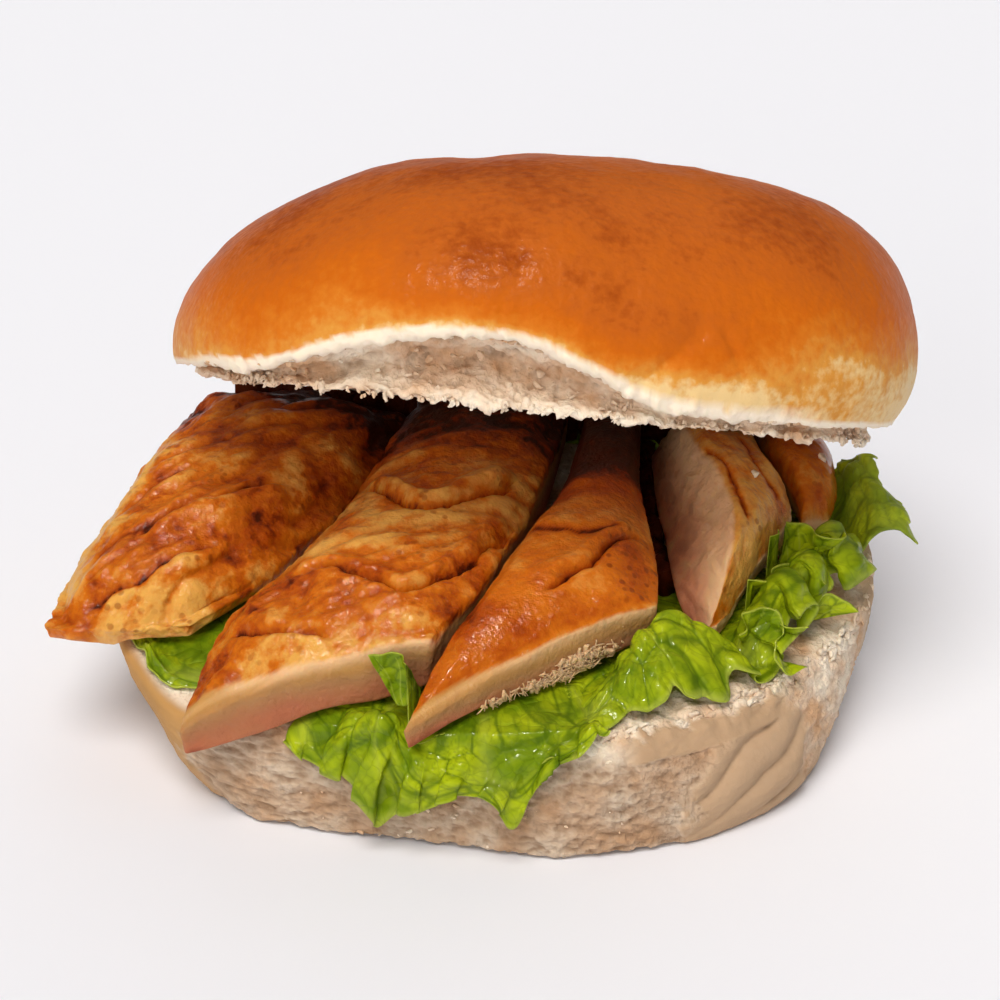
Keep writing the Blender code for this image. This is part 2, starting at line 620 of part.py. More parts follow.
def main():
    clear_scene()
    heel_rings = len(HEEL_TOP_RINGS) + HEEL_SIDE_RINGS + 2
    add_turned("bun_heel", HEEL_SEGMENTS, heel_rings, heel_form, CRUMB)
    crown_rings = CROWN_DOME_RINGS + 3 + len(CROWN_UNDER_RINGS)
    crown = add_turned("bun_crown", CROWN_SEGMENTS, crown_rings, crown_form, CRUST)
    placed = crown_frame()
    placed.translation *= MM
    crown.matrix_world = placed
    for name in FILLETS:
        add_block(name, FILLET_CELLS, fillet_form(name), GLAZED_FILLET)
    solids = fillet_solids()
    for name, leaf in LEAVES.items():
        add_leaf(name, leaf, solids)


main()
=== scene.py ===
"""Looks of a filled soft roll: torn bread, glazed fillet and frilly lettuce, laid over its solids."""

import math
from itertools import product

import bmesh
import bpy
import numpy as np
from bpy.props import FloatProperty, FloatVectorProperty, IntProperty, PointerProperty
from mathutils import Matrix, Vector, noise
from mathutils.bvhtree import BVHTree


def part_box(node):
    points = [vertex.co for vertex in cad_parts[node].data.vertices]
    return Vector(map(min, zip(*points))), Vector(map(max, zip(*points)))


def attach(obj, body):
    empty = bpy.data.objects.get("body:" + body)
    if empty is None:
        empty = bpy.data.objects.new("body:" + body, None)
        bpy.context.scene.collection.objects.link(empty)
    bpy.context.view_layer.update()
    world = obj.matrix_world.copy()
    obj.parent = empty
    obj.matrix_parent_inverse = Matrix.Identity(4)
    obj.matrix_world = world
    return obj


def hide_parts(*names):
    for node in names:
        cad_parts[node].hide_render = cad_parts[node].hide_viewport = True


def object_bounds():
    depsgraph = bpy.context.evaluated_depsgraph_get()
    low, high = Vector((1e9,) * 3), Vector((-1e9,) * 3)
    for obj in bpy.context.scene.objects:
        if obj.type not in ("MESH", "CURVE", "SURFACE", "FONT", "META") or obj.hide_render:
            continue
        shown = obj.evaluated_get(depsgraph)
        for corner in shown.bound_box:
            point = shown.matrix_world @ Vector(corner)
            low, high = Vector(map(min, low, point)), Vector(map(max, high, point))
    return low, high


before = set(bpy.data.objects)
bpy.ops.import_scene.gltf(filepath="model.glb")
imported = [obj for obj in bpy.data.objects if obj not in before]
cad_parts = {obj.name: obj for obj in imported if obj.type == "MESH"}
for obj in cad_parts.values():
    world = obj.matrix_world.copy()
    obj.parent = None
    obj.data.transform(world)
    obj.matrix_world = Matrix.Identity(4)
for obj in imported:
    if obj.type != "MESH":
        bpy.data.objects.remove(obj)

bl_info = {
    "name": "Filled soft roll",
    "version": (1, 0, 0),
    "blender": (4, 5, 0),
    "location": "3D View > Sidebar > Filled roll",
    "description": "Builds the bread, fillet pieces, lettuce and crumbs of a filled roll over its solids",
    "category": "Add Mesh",
}

# Sizes and places -----------------------------------------------------------------------------

MM = 0.001
CAD_BOX = [list(corner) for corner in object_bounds()]  # lowest and highest corner of the solids, m

# What follows is in millimetres. Angles are in degrees, anticlockwise from +X as seen
# from above, so the roll opens at 270.
GAP = 0.45  # clearance between pieces that touch

# Heel: the bottom half of the roll.
HEEL_TOP = 22.0
HEEL_DISH = 4  # power by which the upper face bends up or down towards the rim
HEEL_EDGE_FALL = 1.6  # slope of the side just outside the rim, for what hangs over it
SPILL_FALL = 0.5  # gentler slope that stiff fillet pieces keep outside the rim
HEEL_OUTLINE = (  # angle, base radius, belly radius, rim radius, rim height
    (0, 49.5, 57.5, 60.0, 19.5),
    (20, 52.0, 60.0, 61.5, 24.0),
    (45, 51.5, 60.0, 59.5, 26.0),
    (70, 49.5, 57.0, 55.0, 26.0),
    (90, 47.0, 54.0, 52.0, 25.5),
    (120, 49.0, 57.0, 55.0, 25.0),
    (150, 50.0, 59.0, 59.0, 23.0),
    (180, 50.0, 59.0, 61.0, 20.5),
    (205, 51.0, 58.0, 61.5, 19.0),
    (216, 54.0, 59.0, 60.5, 17.0),
    (227, 54.5, 56.0, 55.0, 15.5),
    (238, 51.5, 52.0, 51.0, 18.0),
    (254, 48.5, 49.5, 49.0, 19.5),
    (272, 50.0, 50.5, 49.0, 20.0),
    (288, 52.5, 53.0, 50.0, 20.0),
    (305, 54.5, 55.5, 51.5, 20.5),
    (323, 55.0, 57.5, 53.0, 20.5),
    (341, 52.0, 57.0, 56.0, 20.0),
)
HEEL_TORN = (228.0, 306.0)  # the side pulled from its neighbour in the tin

# Crown: the top half, modelled flat and then tipped open about its back.
CROWN_HALF_WIDTH = 57.8
CROWN_HALF_DEPTH = 50.0
CROWN_HEIGHT = 38.0
CROWN_SQUARENESS = 2.35  # power of its outline in plan: 2 is an ellipse
CROWN_SLACK = 4.0  # how much lower the left shoulder is
CROWN_CENTRE = (5.8, 1.0, 51.0)
CROWN_TILT = math.radians(25.0)
CROWN_ROLL = math.radians(6.5)
CROWN_HANG = 1.6  # how far the torn crumb hangs below the base plane
CROWN_EDGE = (  # angle, height of the crust's torn edge, how far the crumb is set back under it
    (0, 4.0, 2.0),
    (45, 2.0, 1.5),
    (90, 1.5, 1.5),
    (135, 1.5, 2.0),
    (180, 1.5, 3.5),
    (207, 1.0, 4.0),
    (222, 1.6, 3.5),
    (236, 5.8, 6.0),
    (252, 8.4, 7.0),
    (267, 7.4, 6.5),
    (280, 3.2, 3.5),
    (292, 1.2, 2.0),
    (320, 1.5, 1.5),
    (342, 2.5, 1.5),
)
CROWN_CREASES = (  # shallow dip on the dome from (x, y) to (x, y), its half-width and depth
    ((-18.0, 6.0), (-12.0, -14.0), 6.0, 1.0),
    ((14.0, 16.0), (16.0, -10.0), 6.0, 0.7),
)

# Fillet pieces: stations run from the mouth inwards. Each has a point (x, y, z) on the top left
# edge and one on the top right edge, then the drops below them, or the two bottom points. The top
# swells by `crown` in the middle and falls by `round` at its edges.
FILLET_LEAST_THICKNESS = 2.5
FILLET_SHOULDER = 0.09  # share of the width over which a top edge rounds off
FILLET_SLUMP = 0.17  # share of the width over which it slumps
FOLD_SWELL = 1.7  # how far from a fold the meat beside it swells most
FIBRE_WAY = (0.55, 0.25, 0.8)  # the way the fibres run in a cut face
FILLET_UNEVENNESS = 0.7
FILLETS = {
    "fillet_1": {
        "stations": (
            ((-70.0, -24.0, 26.5), (-47.0, -25.0, 26.5), (4.5, 7.0)),
            ((-67.0, -9.0, 30.5), (-39.0, -16.0, 31.5), (8.0, 9.5)),
            ((-63.0, 5.0, 34.0), (-31.5, -5.0, 34.0), (9.5, 10.0)),
            ((-58.0, 19.0, 37.0), (-24.0, 8.0, 35.5), (11.0, 10.0)),
            ((-50.5, 38.0, 39.0), (-14.8, 36.0, 36.5), (11.5, 10.0)),
        ),
        "crown": 3.5,
        "round": 2.6,
    },
    "fillet_2": {
        "stations": (
            ((-47.5, -45.5, 20.5), (-10.0, -42.3, 35.0), (8.0, 10.5)),
            ((-43.0, -33.5, 29.0), (-5.4, -34.0, 36.0), (9.0, 11.5)),
            ((-36.2, -24.5, 33.5), (-1.6, -25.5, 36.3), (10.0, 11.5)),
            ((-26.8, -9.5, 36.0), (3.3, -9.0, 36.5), (11.0, 11.5)),
            ((-21.8, 6.0, 36.5), (7.5, 8.0, 37.0), (11.0, 11.5)),
            ((-13.6, 37.0, 36.5), (12.0, 36.0, 36.5), (10.0, 10.0)),
        ),
        "crown": 3.0,
        "round": 1.5,
    },
    "fillet_3": {
        "stations": (
            ((-14.2, -53.0, 24.5), (23.6, -31.0, 34.0), (5.5, 7.5)),
            ((-8.2, -41.5, 32.5), (24.0, -25.0, 35.0), (9.0, 9.0)),
            ((-2.9, -31.5, 35.5), (23.8, -18.0, 36.0), (10.5, 9.5)),
            ((3.0, -18.5, 37.5), (23.0, -8.0, 37.0), (11.5, 10.5)),
            ((9.5, -2.0, 37.8), (22.5, 5.0, 37.0), (11.5, 11.0)),
            ((15.0, 34.0, 36.5), (24.0, 33.0, 36.0), (10.5, 10.5)),
        ),
        "crown": 2.4,
        "round": 1.4,
    },
    "fillet_4": {
        "stations": (
            ((31.5, -28.0, 26.5), (32.8, -26.8, 25.5), (31.2, -28.0, 22.5), (32.6, -27.2, 22.5)),
            ((35.3, -21.0, 36.5), (39.5, -15.5, 31.0), (27.4, -22.0, 26.5), (37.8, -16.5, 26.0)),
            ((36.0, -15.0, 39.5), (44.2, -7.0, 33.0), (26.4, -15.0, 27.0), (42.4, -8.0, 27.0)),
            ((35.6, -8.0, 41.0), (46.4, -1.5, 34.0), (26.0, -8.0, 27.0), (45.0, -2.0, 27.0)),
            ((34.0, 0.0, 41.5), (45.6, 4.5, 36.0), (25.8, 0.0, 27.0), (44.6, 4.5, 27.0)),
            ((31.5, 10.0, 40.5), (43.0, 11.0, 37.0), (25.2, 10.0, 27.0), (42.5, 11.0, 27.0)),
            ((29.0, 30.0, 39.0), (40.5, 30.0, 36.0), (25.2, 30.0, 27.0), (40.3, 30.0, 27.0)),
        ),
        "crown": 0.8,
        "round": 0.9,
    },
    "fillet_5": {
        "stations": (
            ((48.0, -1.0, 31.5), (52.8, 3.0, 29.5), (4.5, 3.0)),
            ((47.4, 5.0, 34.5), (54.6, 8.0, 32.0), (7.0, 5.0)),
            ((45.2, 12.0, 36.5), (55.0, 14.5, 33.5), (8.5, 6.5)),
            ((43.4, 20.0, 36.0), (54.5, 22.0, 34.0), (8.0, 7.0)),
            ((42.0, 32.0, 33.0), (51.0, 33.0, 32.0), (6.0, 6.0)),
        ),
        "crown": 1.2,
        "round": 1.5,
    },
}

# Lettuce: each leaf runs round part of the heel, from under the fillets to its free edge.
LEAF_THICKNESS = 0.7
LEAF_LIFT = 0.5
LEAF_LYING_SHARE = 0.3  # the part of its width that lies flat on the bread
RIB_SPACING = 15.0
PRESS_REACH = 1.1  # how far round a fillet piece the leaf under it is pressed down
# A section is an angle, the radius where the leaf leaves the bread, the radius and height of its
# crest, and the radius and height of its edge. A ruffle is a height and a number of waves. Between
# its calm angles a leaf hardly ruffles, and its overlap is how far it runs from end to end.
LEAVES = {
    "lettuce_front": {
        "inner": 26.0,
        "sections": (
            (234, 45.0, 49.5, 17.2, 54.0, 14.6),
            (239, 46.5, 51.4, 17.0, 54.0, 12.3),
            (245, 47.0, 51.2, 20.0, 53.9, 9.5),
            (248.5, 48.0, 51.0, 21.6, 53.8, 7.0),
            (251, 48.0, 51.2, 21.0, 53.8, 5.2),
            (254, 47.8, 51.7, 17.0, 53.8, 6.5),
            (264, 47.8, 52.2, 15.5, 53.8, 11.8),
            (269, 48.0, 52.4, 15.0, 54.4, 11.5),
            (272.4, 48.0, 52.6, 15.0, 55.1, 6.5),
            (276, 48.0, 52.3, 17.0, 53.6, 14.5),
            (284, 46.5, 50.9, 20.8, 52.6, 19.6),
        ),
        "ruffle": (0.9, 7.0),
        "overlap": (0.0, 1.06),
    },
    "lettuce_right": {
        "inner": 13.0,
        "sections": (
            (286, 44.5, 47.0, 21.8, 50.8, 20.8),
            (293, 41.5, 44.0, 25.5, 51.5, 21.0),
            (301, 39.8, 42.0, 29.5, 52.8, 21.2),
            (308, 38.8, 41.0, 31.0, 53.0, 21.8),
            (313, 39.5, 42.0, 29.5, 53.0, 22.0),
            (318, 42.8, 47.0, 24.5, 54.5, 22.5),
            (325, 43.0, 47.0, 26.0, 53.5, 23.0),
            (333, 42.6, 47.0, 30.5, 52.5, 23.5),
            (341, 44.2, 48.5, 31.0, 54.0, 24.0),
            (350, 46.5, 50.5, 32.5, 55.5, 25.5),
            (357, 49.0, 53.0, 31.0, 60.5, 25.0),
        ),
        "ruffle": (1.9, 7.5),
        "calm": (280.0, 316.0),
        "overlap": (-0.03, 1.0),
    },
    "lettuce_side": {
        "inner": 44.0,
        "sections": (
            (361, 57.0, 61.0, 28.5, 68.5, 26.0),
            (366, 56.8, 60.5, 30.0, 67.0, 28.5),
            (371, 57.2, 60.0, 31.0, 64.0, 31.0),
            (376, 57.6, 60.5, 32.0, 63.5, 33.0),
            (381, 58.0, 60.0, 29.5, 61.5, 31.0),
        ),
        "ruffle": (0.5, 1.6),
        "calm": (350.0, 390.0),
    },
    "lettuce_back": {
        "inner": 42.0,
        "sections": (
            (385, 57.0, 59.5, 25.6, 62.5, 24.0),
            (405, 56.0, 59.0, 26.6, 62.0, 24.0),
            (430, 53.0, 56.0, 27.5, 59.5, 25.5),
            (450, 48.5, 51.5, 28.0, 56.5, 26.5),
            (467, 49.5, 53.0, 29.5, 57.5, 27.5),
        ),
        "ruffle": (0.9, 6.0),
    },
    "lettuce_left": {
        "inner": 36.0,
        "sections": (
            (110, 51.0, 54.0, 25.8, 57.0, 25.2),
            (130, 52.0, 56.0, 25.2, 59.0, 24.8),
            (150, 55.0, 58.5, 23.8, 61.0, 23.4),
            (176, 57.0, 60.0, 21.6, 62.5, 21.4),
            (190, 57.0, 60.0, 20.8, 62.5, 20.6),
            (203, 55.0, 58.5, 20.2, 60.5, 20.2),
            (211, 54.5, 58.0, 19.0, 60.3, 19.2),
            (218, 51.5, 53.0, 17.8, 54.0, 17.4),
        ),
        "ruffle": (0.25, 8.0),
    },
}

# Folds in the glazed tops: a line of (x, y) points, then the width and depth of the fold, and how
# far the meat swells on its left and right hand, looking along the line.
FILLET_FOLDS = {
    "fillet_1": (
        (((-56.5, -12.5), (-51.6, -9.0), (-48.1, -6.7), (-43.4, -5.0), (-39.0, -0.6), (-34.0, 2.5)),
         0.6, 1.6, 0.4, 1.3),
        (((-66.0, -22.0), (-62.1, -21.3), (-55.4, -20.2), (-50.1, -17.4), (-43.0, -12.9)),
         0.6, 0.9, 0.3, 0.6),
    ),
    "fillet_2": (
        (((-33.0, -24.5), (-30.9, -26.7), (-24.6, -27.6), (-18.8, -31.6), (-14.0, -35.0), (-8.1, -30.1),
          (-4.1, -23.9), (-0.2, -17.6), (3.1, -8.8)), 0.45, 2.0, 1.1, 0.8),
        (((-41.0, -35.0), (-37.2, -36.5), (-31.7, -38.4), (-24.0, -40.7)), 0.45, 1.5, 0.4, 0.9),
        (((-22.5, 2.0), (-19.4, -3.6), (-16.6, -8.9), (-11.3, -11.6), (-8.4, -11.0), (0.0, -3.7),
          (3.5, 1.4)), 0.45, 2.0, 1.7, 0.1),
    ),
    "fillet_3": (
        (((5.9, -34.1), (10.0, -30.2), (13.5, -27.5), (16.8, -22.1), (22.2, -15.6)), 0.4, 1.8, 0.9, 0.5),
        (((3.1, -17.2), (6.1, -18.7), (11.7, -20.4), (19.4, -16.8)), 0.9, 0.5, 0.3, 0.1),
    ),
    "fillet_4": (
        (((33.0, 8.0), (36.2, -3.0), (38.0, -12.0), (38.4, -16.0)), 0.6, 0.8, 0.2, 0.5),
        (((38.0, 14.0), (41.2, 2.0), (44.0, -5.0)), 0.6, 0.7, 0.2, 0.3),
    ),
    "fillet_5": (),
}
# The way the muscle runs in plan, how deep its ropes are, how rough the skin, how far the edges
# slump, how far the cut face leans back at the left, and how mottled the glaze is, 0 to 1
FILLET_GRAIN = {
    "fillet_1": (33.0, 0.95, 0.22, 2.8, 0.0, 0.8),
    "fillet_2": (16.0, 0.55, 0.17, 0.5, 3.6, 0.8),
    "fillet_3": (28.0, 0.16, 0.06, 0.2, 3.4, 0.35),
    "fillet_4": (-68.0, 0.30, 0.12, 0.4, 0.0, 0.5),
    "fillet_5": (-60.0, 0.30, 0.10, 0.4, 0.0, 0.6),
}
FILLET_MESH = {  # cells along, across and up
    "fillet_1": (128, 96, 18),
    "fillet_2": (140, 112, 24),
    "fillet_3": (130, 104, 22),
    "fillet_4": (90, 60, 44),
    "fillet_5": (46, 36, 14),
}
LEAF_MESH = {  # cells along and across
    "lettuce_front": (260, 64),
    "lettuce_right": (370, 74),
    "lettuce_side": (90, 48),
    "lettuce_back": (120, 26),
    "lettuce_left": (140, 28),
}


def through(knots, values, at):
    """Smooth values at the places `at`, through values given at the knots."""
    knots = np.asarray(knots, float)
    values = np.asarray(values, float)
    slopes = np.gradient(values, knots, axis=0)
    i = np.clip(np.searchsorted(knots, at) - 1, 0, len(knots) - 2)
    width = knots[i + 1] - knots[i]
    t = (at - knots[i]) / width
    if values.ndim > 1:
        t, width = t[..., None], width[..., None]
    start, end = values[i], values[i + 1]
    ease = t * t * (3 - 2 * t)
    bend_in = t * (1 - t) ** 2 * width * slopes[i]
    bend_out = -t * t * (1 - t) * width * slopes[i + 1]
    return start + (end - start) * ease + bend_in + bend_out


def round_table(table, degrees):
    """The table's columns at these angles, on a table that closes on itself after 360 degrees."""
    rows = np.asarray(table, float)
    before, after = rows[-3:].copy(), rows[:3].copy()
    before[:, 0] -= 360
    after[:, 0] += 360
    rows = np.concatenate([before, rows, after])
    return through(rows[:, 0], rows[:, 1:], np.mod(degrees, 360.0)).T


def bumps(points, size, seed):
    """Smooth noise from -1 to 1 at points in mm, with lumps of about `size` mm, as the solids have it."""
    shift = Vector((seed * 7.3, seed * 3.1, seed * 5.7))
    return np.array([noise.noise(Vector(p) / size + shift) for p in points])


def cell_numbers(cells, seed, count):
    """Repeatable numbers from 0 to 1 for whole-number cells, `count` of them for each cell."""
    mixed = cells[..., 0] * 73856093 ^ cells[..., 1] * 19349663 ^ cells[..., 2] * 83492791
    mixed = (mixed ^ (seed * 40503 + 977)) & 0xFFFFFFFF
    numbers = []
    for _ in range(count):
        mixed = (mixed ^ (mixed >> 15)) * 739982445 & 0xFFFFFFFF
        mixed = (mixed ^ (mixed >> 12)) * 695872825 & 0xFFFFFFFF
        numbers.append((mixed & 0xFFFF) / 65535.0)
    return np.stack(numbers, -1)


def grain(points, size, seed):
    """Smooth noise from about -1 to 1, quick on many points. Size is one number or one for each axis."""
    at = np.asarray(points, float) / size + seed * 13.7
    cell = np.floor(at).astype(np.int64)
    inside = at - cell
    ease = inside**3 * (inside * (inside * 6 - 15) + 10)
    total = np.zeros(len(at))
    for corner in product((0, 1), repeat=3):
        slope = cell_numbers(cell + corner, seed, 3) * 2 - 1
        weight = np.prod(np.where(corner, ease, 1 - ease), axis=1)
        total += weight * ((inside - corner) * slope).sum(1)
    return total * 1.7


def grain_3d(points, size, seed):
    """Noise in three directions."""
    return np.stack([grain(points, size, seed + axis) for axis in range(3)], 1)


def fluff(points, size, seed, layers=4, fade=0.55):
    """Noise with ever finer noise on it."""
    total, weight = np.zeros(len(points)), 1.0
    for layer in range(layers):
        total += weight * grain(points, np.asarray(size) / 2.03**layer, seed + layer)
        weight *= fade
    return total


def cells(points, size, seed):
    """A cell pattern: distance to the nearest and next nearest seed, and the cell's number, 0 to 1."""
    at = np.asarray(points, float) / size
    cell = np.floor(at).astype(np.int64)
    nearest, following, number = np.full(len(at), 9.0), np.full(len(at), 9.0), np.zeros(len(at))
    for step in product((-1, 0, 1), repeat=3):
        drawn = cell_numbers(cell + step, seed, 4)
        away = np.linalg.norm(cell + step + drawn[:, :3] - at, axis=1)
        following = np.minimum(following, np.maximum(nearest, away))
        number = np.where(away < nearest, drawn[:, 3], number)
        nearest = np.minimum(nearest, away)
    return nearest, following, number


def around(theta, radius, z):
    """Points at these angles, radii and heights."""
    return np.stack(np.broadcast_arrays(radius * np.cos(theta), radius * np.sin(theta), z), -1)


def window(value, low, high, soft):
    """1 between low and high, eased to 0 over a width of `soft` round each of them."""
    return smooth(-0.5, 0.5, (value - low) / soft) * smooth(-0.5, 0.5, (high - value) / soft)


def smooth(low, high, value):
    """0 below low and 1 above high, eased between them."""
    t = np.clip((value - low) / (high - low), 0, 1)
    return t * t * (3 - 2 * t)


def beside_line(points, line):
    """Distance to a line of points, the side it is on (1 left, -1 right) and how far along, 0 to 1."""
    best = np.full(points.shape[:-1], 1e9)
    side, along = np.ones_like(best), np.zeros_like(best)
    line = np.asarray(line, float)
    lengths = np.linalg.norm(np.diff(line, axis=0), axis=1)
    starts = np.concatenate([[0], np.cumsum(lengths)])
    for k, (start, end) in enumerate(zip(line[:-1], line[1:])):
        run = end - start
        t = np.clip(((points - start) @ run) / (run @ run), 0, 1)
        off = points - start - t[..., None] * run
        away = np.linalg.norm(off, axis=-1)
        closer = away < best
        turn = run[0] * off[..., 1] - run[1] * off[..., 0]
        best = np.where(closer, away, best)
        side = np.where(closer, np.where(turn >= 0, 1.0, -1.0), side)
        along = np.where(closer, (starts[k] + t * lengths[k]) / starts[-1], along)
    return best, side, along


def heel_outline(theta):
    """The heel's base, belly and rim radii and its ragged rim height at these angles."""
    degrees = np.mod(np.degrees(theta), 360)
    base, belly, rim, height = round_table(HEEL_OUTLINE, degrees)
    ragged = bumps(around(theta, 40, 0.0), 7.0, 1)
    return base, belly, rim, height + ragged * (0.4 + 0.9 * window(degrees, *HEEL_TORN, 8.0))


def heel_surface(x, y, fall=HEEL_EDGE_FALL):
    """Height of the heel's upper face, or of a slope that falls away outside its rim."""
    radius = np.hypot(x, y)
    rim, height = heel_outline(np.arctan2(y, x))[2:]
    share = radius / rim
    inside = HEEL_TOP + (height - HEEL_TOP) * share**HEEL_DISH
    outside = height - fall * (radius - rim)
    return np.where(share < 1, inside, outside)


def leaf_support(x, y):
    """Height of a leaf's underside where it lies on the heel."""
    return heel_surface(x, y) + LEAF_LIFT


def leaf_angle(leaf, u):
    """The angle at a share of a leaf's length."""
    first, last = leaf["sections"][0][0], leaf["sections"][-1][0]
    return first + u * (last - first)


def leaf_bed(leaf, u, v):
    """The leaf without its frill: flat on the bread, then up to its crest and out to its edge."""
    table = np.asarray(leaf["sections"], float)
    degrees = leaf_angle(leaf, u)
    leaves_at, crest, crest_z, edge, edge_z = through(table[:, 0], table[:, 1:], degrees).T
    theta = np.radians(degrees)
    lying = np.clip(v / LEAF_LYING_SHARE, 0, 1)
    radius = leaf["inner"] + (leaves_at - leaf["inner"]) * lying
    z = leaf_support(radius * np.cos(theta), radius * np.sin(theta))
    t = np.clip((v - LEAF_LYING_SHARE) / (1 - LEAF_LYING_SHARE), 0, 1.2)
    pull, pull_z = 2 * crest - (leaves_at + edge) / 2, 2 * crest_z - (z + edge_z) / 2
    radius = np.where(t > 0, (1 - t) ** 2 * leaves_at + 2 * t * (1 - t) * pull + t * t * edge, radius)
    z = np.where(t > 0, (1 - t) ** 2 * z + 2 * t * (1 - t) * pull_z + t * t * edge_z, z)
    return around(theta, radius, z)


def support_under_fillets(x, y):
    """The lowest a fillet may reach at a place: a leaf's thickness and a gap above the bread."""
    return heel_surface(x, y, fall=SPILL_FALL) + LEAF_LIFT + LEAF_THICKNESS + 3 * GAP


def crown_frame():
    """The crown's place: leaned open, and set over the filling."""
    lean = Matrix.Rotation(CROWN_ROLL, 4, "Y") @ Matrix.Rotation(-CROWN_TILT, 4, "X")
    return Matrix.Translation(Vector(CROWN_CENTRE)) @ lean


def roof_over_fillets(x, y):
    """The highest a fillet may reach at a place: a gap below the crown's underside."""
    up = crown_frame().to_3x3() @ Vector((0, 0, 1))
    plane = CROWN_CENTRE[2] - (up.x * (x - CROWN_CENTRE[0]) + up.y * (y - CROWN_CENTRE[1])) / up.z
    clearance = np.interp(y, (-25.0, 5.0), (CROWN_HANG + 1.6, 1.7))
    return plane - clearance


# Building meshes ------------------------------------------------------------------------------


def turned_faces(rows, columns):
    """Faces of a surface whose rows close round, between a first and a last point."""
    ring = 1 + np.arange(rows * columns).reshape(rows, columns)
    following = np.roll(ring, -1, axis=1)
    quads = np.stack([ring[:-1], following[:-1], following[1:], ring[1:]], -1).reshape(-1, 4)
    last = rows * columns + 1
    caps = [(0, b, a) for a, b in zip(ring[0], following[0])]
    caps += [(last, a, b) for a, b in zip(ring[-1], following[-1])]
    return quads.tolist() + [tuple(int(i) for i in cap) for cap in caps]


def block_lattice(counts):
    """Shares along, across and up of the points on the outside of a block of cells, and its faces."""
    counts = np.asarray(counts)
    index = np.full(counts + 1, -1)
    grid = np.stack(np.meshgrid(*(np.arange(n + 1) for n in counts), indexing="ij"), -1)
    outside = ((grid == 0) | (grid == counts)).any(-1)
    index[outside] = np.arange(outside.sum())
    quads = []
    for axis in range(3):
        for end in (0, counts[axis]):
            side = np.take(index, end, axis=axis)
            corners = [side[:-1, :-1], side[1:, :-1], side[1:, 1:], side[:-1, 1:]]
            quads.append(np.stack(corners, -1).reshape(-1, 4))
    return grid[outside] / counts, np.concatenate(quads).tolist()


def add_piece(name, points, faces):
    """A smooth closed mesh from points in mm."""
    mesh = bpy.data.meshes.new(name)
    mesh.from_pydata((points * MM).tolist(), [], faces)
    tidy = bmesh.new()
    tidy.from_mesh(mesh)
    bmesh.ops.recalc_face_normals(tidy, faces=tidy.faces)
    tidy.to_mesh(mesh)
    tidy.free()
    mesh.shade_smooth()
    made = bpy.data.objects.new(name, mesh)
    bpy.context.scene.collection.objects.link(made)
    return made


def set_masks(piece, **masks):
    """Stores masks on a piece's points, for its finish to read."""
    for name, values in masks.items():
        made = piece.data.attributes.new(name, "FLOAT", "POINT")
        made.data.foreach_set("value", np.asarray(values, np.float32))


def points_of(piece):
    """A piece's points in mm and its outward directions there."""
    mesh = piece.data
    places = np.empty(len(mesh.vertices) * 3, np.float32)
    mesh.vertices.foreach_get("co", places)
    outward = np.empty(len(mesh.vertices) * 3, np.float32)
    mesh.vertex_normals.foreach_get("vector", outward)
    return places.reshape(-1, 3).astype(float) / MM, outward.reshape(-1, 3).astype(float)


def set_points(piece, points):
    """Puts a piece's points, in mm, kept inside the box of the solids."""
    low, high = np.array(CAD_BOX) + np.array([[1e-5], [-1e-5]])
    inside = np.clip(points * MM, low, high)
    piece.data.vertices.foreach_set("co", inside.astype(np.float32).ravel())
    piece.data.update()


def scraps(lumps, seed):
    """Torn bits of crumb or meat: blunt, uneven lumps. Each has a spot, the way outwards, the way it
    is drawn out, and half its length, breadth and height. Gives the points and faces of a piece."""
    around, along_count = 7, 5
    turn = np.linspace(0, 2 * np.pi, around, endpoint=False)
    lean = np.linspace(0, np.pi, along_count + 2)[1:-1]
    ball = [(-0.9, 0.0, 0.0)]
    for a in lean:
        wide = math.sin(a) ** 0.6
        ball += [(-math.cos(a), wide * math.cos(t), wide * math.sin(t)) for t in turn]
    ball = np.array(ball + [(0.9, 0.0, 0.0)])
    cap_faces = turned_faces(along_count, around)
    points, faces = [], []
    for k, (spot, out, way, size) in enumerate(lumps):
        way = way - out * (way @ out)
        way /= np.linalg.norm(way) + 1e-9
        axes = np.stack([way, np.cross(out, way), out])
        lump = (ball * size) @ axes
        bend = grain_3d(lump + 31.0 * k, size[0] * 1.3 + 0.2, seed)
        pits = grain_3d(lump + 17.0 * k, size[1] * 0.9 + 0.1, seed + 5)
        lump += spot + bend * size[1] * 0.9 + pits * size[1] * 0.45
        faces += [[i + len(points) * len(ball) for i in face] for face in cap_faces]
        points.append(lump)
    return np.concatenate(points), faces


def keep(piece, node, finish):
    """Gives a piece its finish and slot, and ties it to the solid that it stands for, if any."""
    piece.data.materials.append(finish)
    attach(piece, "root")
    if node:
        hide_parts(node)


# Finishes -------------------------------------------------------------------------------------


def linear(hex_colour):
    """Linear red, green and blue of an sRGB hex colour."""
    values = [int(hex_colour[i : i + 2], 16) / 255 for i in (1, 3, 5)]
    return tuple(v / 12.92 if v <= 0.04045 else ((v + 0.055) / 1.055) ** 2.4 for v in values)


def opaque(colour):
    """What a colour socket takes, from an sRGB hex colour or a linear one. A socket stays as it is."""
    if isinstance(colour, bpy.types.NodeSocket):
        return colour
    return (*(linear(colour) if isinstance(colour, str) else colour), 1.0)


def per_metre(size):
    """A texture's scale for features of this size in mm."""
    return 1.0 / (size * MM)


